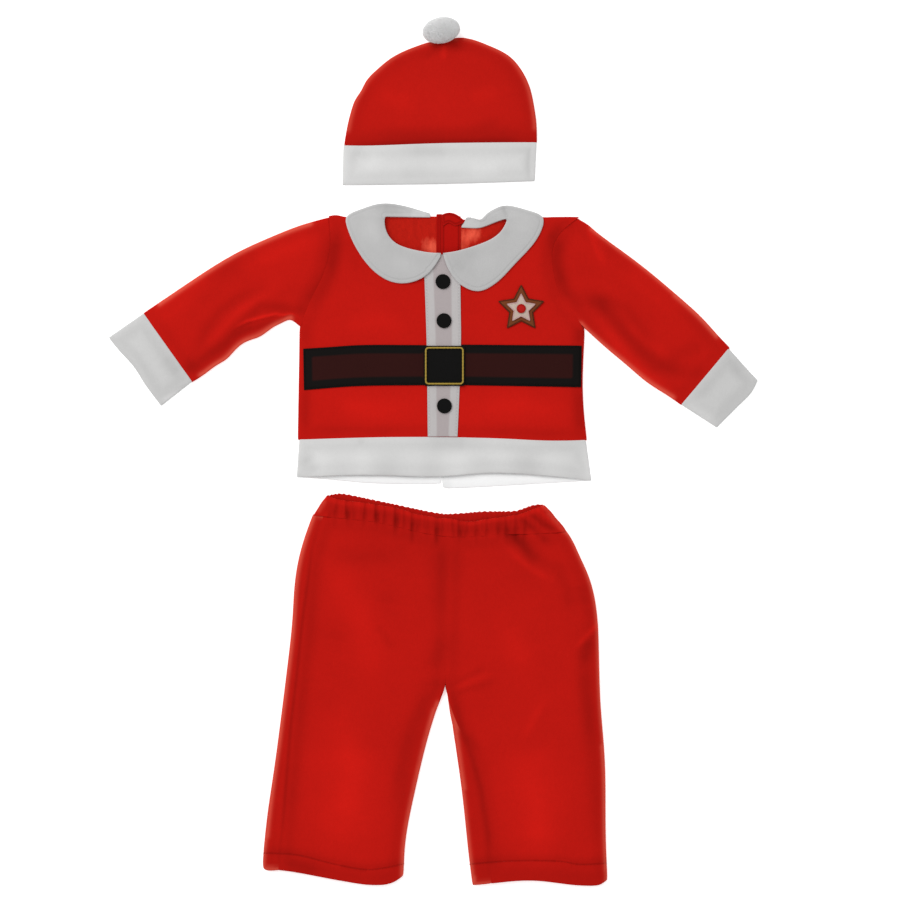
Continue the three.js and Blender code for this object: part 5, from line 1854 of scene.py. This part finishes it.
@dataclass
class Trousers:
    """Trousers with a gathered elastic waist and stitched hems.

    Attributes:
        creases, side_creases: creases of the legs, and of the waist's right end.
        shades: bands of painted light and shade.
        gathers: x of each gather, how far it runs down below the casing, and its depth.
        front_drift, back_drift: at some x, how far the casing's front or back top edge is shifted.
        front_edge, casing: height of the casing's front top edge, and of the seam under it.
        hem_left, hem_right: the legs' lines of stitching.
        leg_slide, waist_slide: small shifts of the outline towards +X.
        band_height: how far the gathers run up above the seam.
    """

    creases: Creases = (
        Crease(((56, 160), (65, 153), (73, 146), (79, 138), (86, 130), (99, 122)), 5, -1.15, 1.6),
        Crease(((57, 142), (75, 126), (90, 114), (106, 106)), 3.6, 0.8),
        Crease(((63, 143), (65, 130)), 5, -0.3),
        Crease(((100, 124), (115, 116), (123, 96), (127, 71)), 7, -0.7),
        Crease(((154, 62), (144, 52), (132, 40)), 2.4, 1.5, 1.4),
        Crease(((146, 47), (141, 32), (138, 22)), 7, -1.1),
        Crease(((138, 20), (142, -20), (146, -56)), 7, -0.7),
        Crease(((138, 102), (139, 80)), 9, -0.7),
        Crease(((2, 46), (-7, 31), (-15, 17)), 9, -0.7),
        Crease(((-7, -3), (-20, -15), (-31, -36), (-41, -64), (-49, -110)), 8, -0.55),
        Crease(((3, 5), (8, -14), (17, -44), (28, -74), (36, -104), (43, -150), (44, -188)), 4, -0.6),
        Crease(((22, -48), (33, -66)), 5, -0.6),
        Crease(((8, 1), (20, 8), (41, 18)), 3, -0.5),
        Crease(((9, -3), (28, 5), (48, 12)), 3, 0.5),
        Crease(((10, -8), (30, -2), (52, 4)), 3.5, -0.5),
        Crease(((-2, 3), (-14, 2), (-26, -2)), 5, -0.5),
        Crease(((102, -12), (92, -28), (79, -52)), 4.5, 0.5),
        Crease(((-2, 145), (-4, 100), (-3, 60)), 13, -0.28),
        Crease(((-110, 120), (-80, 60), (-70, 0)), 16, 0.7),
        Crease(((-100, -40), (-92, -90), (-100, -140)), 15, 0.7),
        Crease(((60, 60), (84, 20)), 14, 0.6),
        Crease(((84, -90), (96, -130), (94, -165)), 14, 0.7),
        Crease(((-56, 98), (-58, 80)), 13, -0.45),
        Crease(((-106, 56), (-108, 44)), 13, -0.35),
        Crease(((-70, 61), (-50, 36)), 4, -0.5),
        Crease(((-120, 134), (-90, 127), (-46, 130)), 9, -0.5),
    )
    # Bands of painted light and shade on the legs and the casing
    shades: Creases = (
        Crease(((-124, 168), (-133, 136), (-137, 106), (-143, 61), (-148, 11),
                (-154, -39), (-158, -89), (-162, -139), (-166, -176)), 2, -0.2),
        Crease(((-118, 160), (-128, 116), (-134, 61), (-142, -9), (-150, -89), (-156, -165)), 9, -0.09),
        Crease(((-115, 150), (-40, 140), (50, 138), (120, 112)), 30, -0.07),
        Crease(((-102, -50), (-100, -165)), 36, 0.15),
        Crease(((84, -50), (90, -165)), 36, 0.13),
        Crease(((-9, -2), (-21, -16), (-31, -40), (-43, -82), (-50, -120)), 7, -0.08),
        Crease(((4, 2), (17, -44), (28, -74), (36, -104), (43, -150), (45, -190)), 4, -0.14),
        Crease(((56, 160), (66, 152), (76, 143), (87, 130)), 6, -0.14),
        Crease(((84, 156), (96, 144)), 9, 0.06),
        Crease(((80, 165), (110, 150)), 14, -0.08),
        Crease(((-4, 140), (-4, 70)), 11, -0.065),
        Crease(((140, 80), (139, 30), (144, -50), (150, -150)), 8, -0.08),
        Crease(((-130, 177), (-60, 170), (0, 160), (60, 160), (112, 164)), 9, -0.06),
        Crease(((-160, -176), (-125, -184)), 7, -0.12),
    )
    side_creases: Creases = (
        Crease(((84, 174), (98, 162), (112, 153)), 2.4, -1.1),
        Crease(((74, 170), (90, 155), (105, 141)), 3, -0.9),
        Crease(((90, 178), (106, 165), (118, 151)), 2.2, 0.7),
    )
    gathers: tuple[tuple[float, float, float], ...] = (
        (-115, 5, 0.7), (-109, 8, 1), (-97, 6, 1.9), (-91, 5, 0.9), (-80, 7, 1.1),
        (-68, 5, 1.9), (-60, 6, 0.8), (-48.5, 9, 2), (-40, 6, 0.6), (-32.5, 14, 1.8),
        (-27, 6, 0.8), (-18, 6, 0.5), (-8, 12, 2.1), (-3, 5, 0.8), (9, 4, 0.6),
        (15, 5, 1.9), (21, 4, 0.9), (31.5, 6, 1.1), (42, 5, 0.8), (54, 5, 1.1), (61.5, 8, 1.2),
        (71, 8, 1), (80, 10, 1),
    )
    front_drift: Line = (
        (-120, 0), (-105, -1), (-90, 2), (-78, 4), (-52, 4), (-28, 0), (8, -0.3),
        (25, -3), (38, -1.2), (55, -1), (75, -2), (98, 0),
    )
    back_drift: Line = (
        (-118, 0), (-105, 1), (-53, 0.5), (-28, -0.5), (0, -2.6), (35, -1.2), (72, -2),
        (88, 0), (98, 0),
    )
    front_edge: Line = (
        (-120, 189), (-110, 187), (-75, 178), (-45, 174), (-15, 169), (25, 166),
        (55, 169), (75, 173), (100, 180),
    )
    casing: Line = (
        (-132, 171.5), (-105, 169), (-70, 165), (-48, 160.3), (-20, 153.8), (5, 150.4),
        (35, 150.8), (60, 152.6), (88, 153), (120, 155),
    )
    hem_left: Line = (
        (-182, -167), (-148, -168.5), (-113, -177), (-82, -183), (-60, -181.5), (-40, -177.5),
    )
    hem_right: Line = (
        (25, -178), (65, -174.5), (112, -174.7), (135, -178), (162, -177),
    )
    leg_slide: Nudges = ((124, 146, 16, 1.8),)
    waist_slide: Nudges = ((117, 160, 12, 2.2), (108, 176, 6, 1.5), (-119, 190, 5, 1.5))
    band_height: float = 22.0
    scallop: float = 0.8  # how deep the edge of the casing dips at a gather

    def gather_creases(self) -> Creases:
        """One trough for each gather, across the band and fading into the cloth below it.

        Returns:
            Two troughs for each gather, a long one and a short deep one.
        """
        made = []
        for k, (x, length, depth) in enumerate(self.gathers):
            seam = float(along_table(x, self.casing))
            sway = 1.2 * math.sin(2.1 * k)
            line = ((x + sway, seam + self.band_height), (x, seam + 2.0), (x - sway, seam - length))
            made.append(Crease(line, 2.0 + 0.4 * math.sin(1.3 * k), -0.6 * depth, 1.3))
            spot = ((x, seam + 7.0), (x, seam - 2.0))
            made.append(Crease(spot, 2.4, -0.4 * depth, 1.2))
        return tuple(made)

    def edge_drift(self, x: Points, y: Points) -> Points:
        """Brings the casing's scalloped top edges to where the elastic pulls them.

        Args:
            x, y: places in the garment's frame, in millimetres.

        Returns:
            The shift towards +Y at each place.
        """
        seam, front = along_table(x, self.casing), along_table(x, self.front_edge)
        scallops = sum(depth * np.exp(-(((x - at) / SCALLOP_REACH) ** 2)) for at, _, depth in self.gathers)
        at_front = along_table(x, self.front_drift) - self.scallop * 0.6 * scallops
        at_back = along_table(x, self.back_drift) + self.scallop * 0.7 * np.sin(1.3 * x + np.sin(0.23 * x))
        risen = np.clip((y - seam) / np.maximum(front - seam, 1.0), 0.0, 1.0)
        beyond = np.clip((y - front) / 5.0, 0.0, 1.0)
        return risen * (at_front * (1.0 - beyond) + at_back * beyond)

    def cloth_relief(self, x: Points, y: Points) -> Points:
        """Creases of the legs and of the gathered waist above them."""
        return crease_height((*self.creases, *self.gather_creases(), *self.side_creases), x, y)

    def waist_relief(self, x: Points, y: Points) -> Points:
        """Gathers and fine ripples of the casing.

        Args:
            x, y: places in the garment's frame, in millimetres.

        Returns:
            The height at each place.
        """
        above_seam = smoothstep(y - along_table(x, self.casing), 1.5, 7.0)
        gathers = crease_height((*self.gather_creases(), *self.side_creases), x, y)
        return gathers + RIPPLE_HEIGHT * ripple(x) * above_seam

    def waist_shade(self, x: Points, y: Points) -> Points:
        """Painted light and shade of the casing, with a painted light rim along its front top edge."""
        past = (y - along_table(x, self.front_edge) + 1.5) / 2.2
        return crease_height(self.shades, x, y) + RIM_LIGHT * np.exp(-(past**2))

    def back_waist_shade(self, x: Points, y: Points) -> Points:
        """Painted shade of the casing's lower layer, with its ripples."""
        return BACK_CASING_SHADE + RIPPLE_SHADE * ripple(x)

    def build(self) -> list[bpy.types.Object]:
        """Makes the legs, the waistband and their stitching.

        Returns:
            The made pieces.
        """
        leg = {
            "look": Look.RED_FLEECE, "slot": "red_fleece", "place": TROUSERS_PLACE,
            "relief": self.cloth_relief, "shade": of_creases(*self.shades), "ease": 0.8, "unevenness": 0.6,
            "seam_dip": 0.1, "fuzz": 0.3, "wraps": True, "slide": of_nudges(*self.leg_slide),
        }
        left = {"line": self.hem_left, **leg}
        right = {"line": self.hem_right, **leg}
        panels = (
            Panel("leg_back_left", cut=Cut(0.19, 0.37, 0.82), **left),
            Panel("leg_back_right", cut=Cut(0.17, 0.355, 0.885), **right),
            Panel("leg_front_left", cut=Cut(0.165, 0.37, 0.805), rests_on=("leg_back_left_cloth",),
                  **left),
            Panel("leg_front_right", cut=Cut(0.16, 0.355, 0.845), rests_on=("leg_back_right_cloth",),
                  **right),
            Panel("waistband", Look.RED_FLEECE, "red_fleece", Cut(0.56, 0.0185), place=TROUSERS_PLACE,
                  relief=self.waist_relief, unevenness=0.2, ease=1.2, seam_dip=0.0, shade=self.waist_shade,
                  under_shade=self.back_waist_shade, slide=of_nudges(*self.waist_slide),
                  drift=self.edge_drift, flatten=(5.4, 0.4), fuzz=0.14),
        )
        made = [panel.build() for panel in panels]
        by_name = {piece.name: piece for piece in made}
        for side, line in (("left", self.hem_left), ("right", self.hem_right)):
            ground = (by_name[f"leg_front_{side}_cloth"], by_name[f"leg_back_{side}_cloth"])
            hem = Stitching(f"hem_stitches_{side}", (line,), ground, Look.RED_THREAD, "red_fleece",
                            place=TROUSERS_PLACE, pitch=3.2)
            made.append(hem.build())
        return made


# ---------- Studio ----------


@dataclass(frozen=True)
class Studio:
    """Pale floor, soft light and a camera straight above.

    Attributes:
        middle_x, middle_y: the place that the camera looks down on.
        field: width of the floor that it sees.
        distance: its height.
        sensor: width of its film, in millimetres.
        sky: strength of the light from all round.
        floor_size: width of the floor.
        floor_gap: how far the floor lies under the cloth.
        floor_glow: light that the floor gives, which keeps it pale in the shadows.
    """

    middle_x: float = 17.0 * MM
    middle_y: float = 1.3 * MM
    field: float = 0.9
    distance: float = 3.0
    sensor: float = 36.0
    sky: float = 0.5
    floor_size: float = 14.0
    floor_gap: float = 0.25 * MM
    floor_glow: float = 0.45

    def build(self) -> None:
        """Makes the floor, the lights and the camera."""
        self._floor()
        self._light("key", (-1.3, 1.5, 2.4), 2.2, 66.0)
        self._light("fill", (1.6, -1.0, 2.6), 2.6, 16.0)
        scene = bpy.context.scene
        scene.world = bpy.data.worlds.new("studio")
        scene.world.use_nodes = True
        background = scene.world.node_tree.nodes["Background"]
        background.inputs["Color"].default_value = (1.0, 1.0, 1.0, 1.0)
        background.inputs["Strength"].default_value = self.sky
        scene.view_settings.view_transform = "Standard"
        camera = bpy.data.cameras.new("camera")
        camera.sensor_width = self.sensor
        camera.lens = self.sensor * self.distance / self.field
        placed = bpy.data.objects.new("camera", camera)
        placed.location = (self.middle_x, self.middle_y, self.distance)
        scene.collection.objects.link(placed)
        scene.camera = placed

    def _floor(self) -> None:
        """A wide pale floor, just under the cloth."""
        half = self.floor_size / 2
        mesh = bpy.data.meshes.new("floor")
        corners = [(-half, -half), (half, -half), (half, half), (-half, half)]
        mesh.from_pydata([(x, y, -self.floor_gap) for x, y in corners], [], [(0, 1, 2, 3)])
        floor = link("floor", mesh)
        paper = bpy.data.materials.new("pale_floor")
        paper.use_nodes = True
        shader = paper.node_tree.nodes["Principled BSDF"]
        values = {
            "Base Color": (0.93, 0.93, 0.93), "Roughness": 0.9, "Specular IOR Level": 0.1,
            "Emission Color": (1.0, 1.0, 1.0), "Emission Strength": self.floor_glow,
        }
        for name, value in values.items():
            feed(paper.node_tree, shader.inputs[name], value)
        mesh.materials.append(paper)

    def _light(self, name: str, place: tuple[float, float, float], size: float, power: float) -> None:
        """A square soft light that faces the middle of the set.

        Args:
            name: its name.
            place: where it hangs, in metres.
            size: its width.
            power: in watts.
        """
        lamp = bpy.data.lights.new(name, "AREA")
        lamp.size = size
        lamp.energy = power
        placed = bpy.data.objects.new(name, lamp)
        placed.location = place
        placed.rotation_euler = (-Vector(place)).to_track_quat("-Z", "Y").to_euler()
        bpy.context.scene.collection.objects.link(placed)


def main() -> None:
    """Builds the studio and the three garments."""
    logging.basicConfig(level=logging.INFO, format="%(name)s: %(message)s")
    Studio().build()
    for garment in (Hat(), Top(), Trousers()):
        pieces = garment.build()
        LOG.info("%s: %d pieces", type(garment).__name__, len(pieces))


if __name__ == "__main__":
    main()
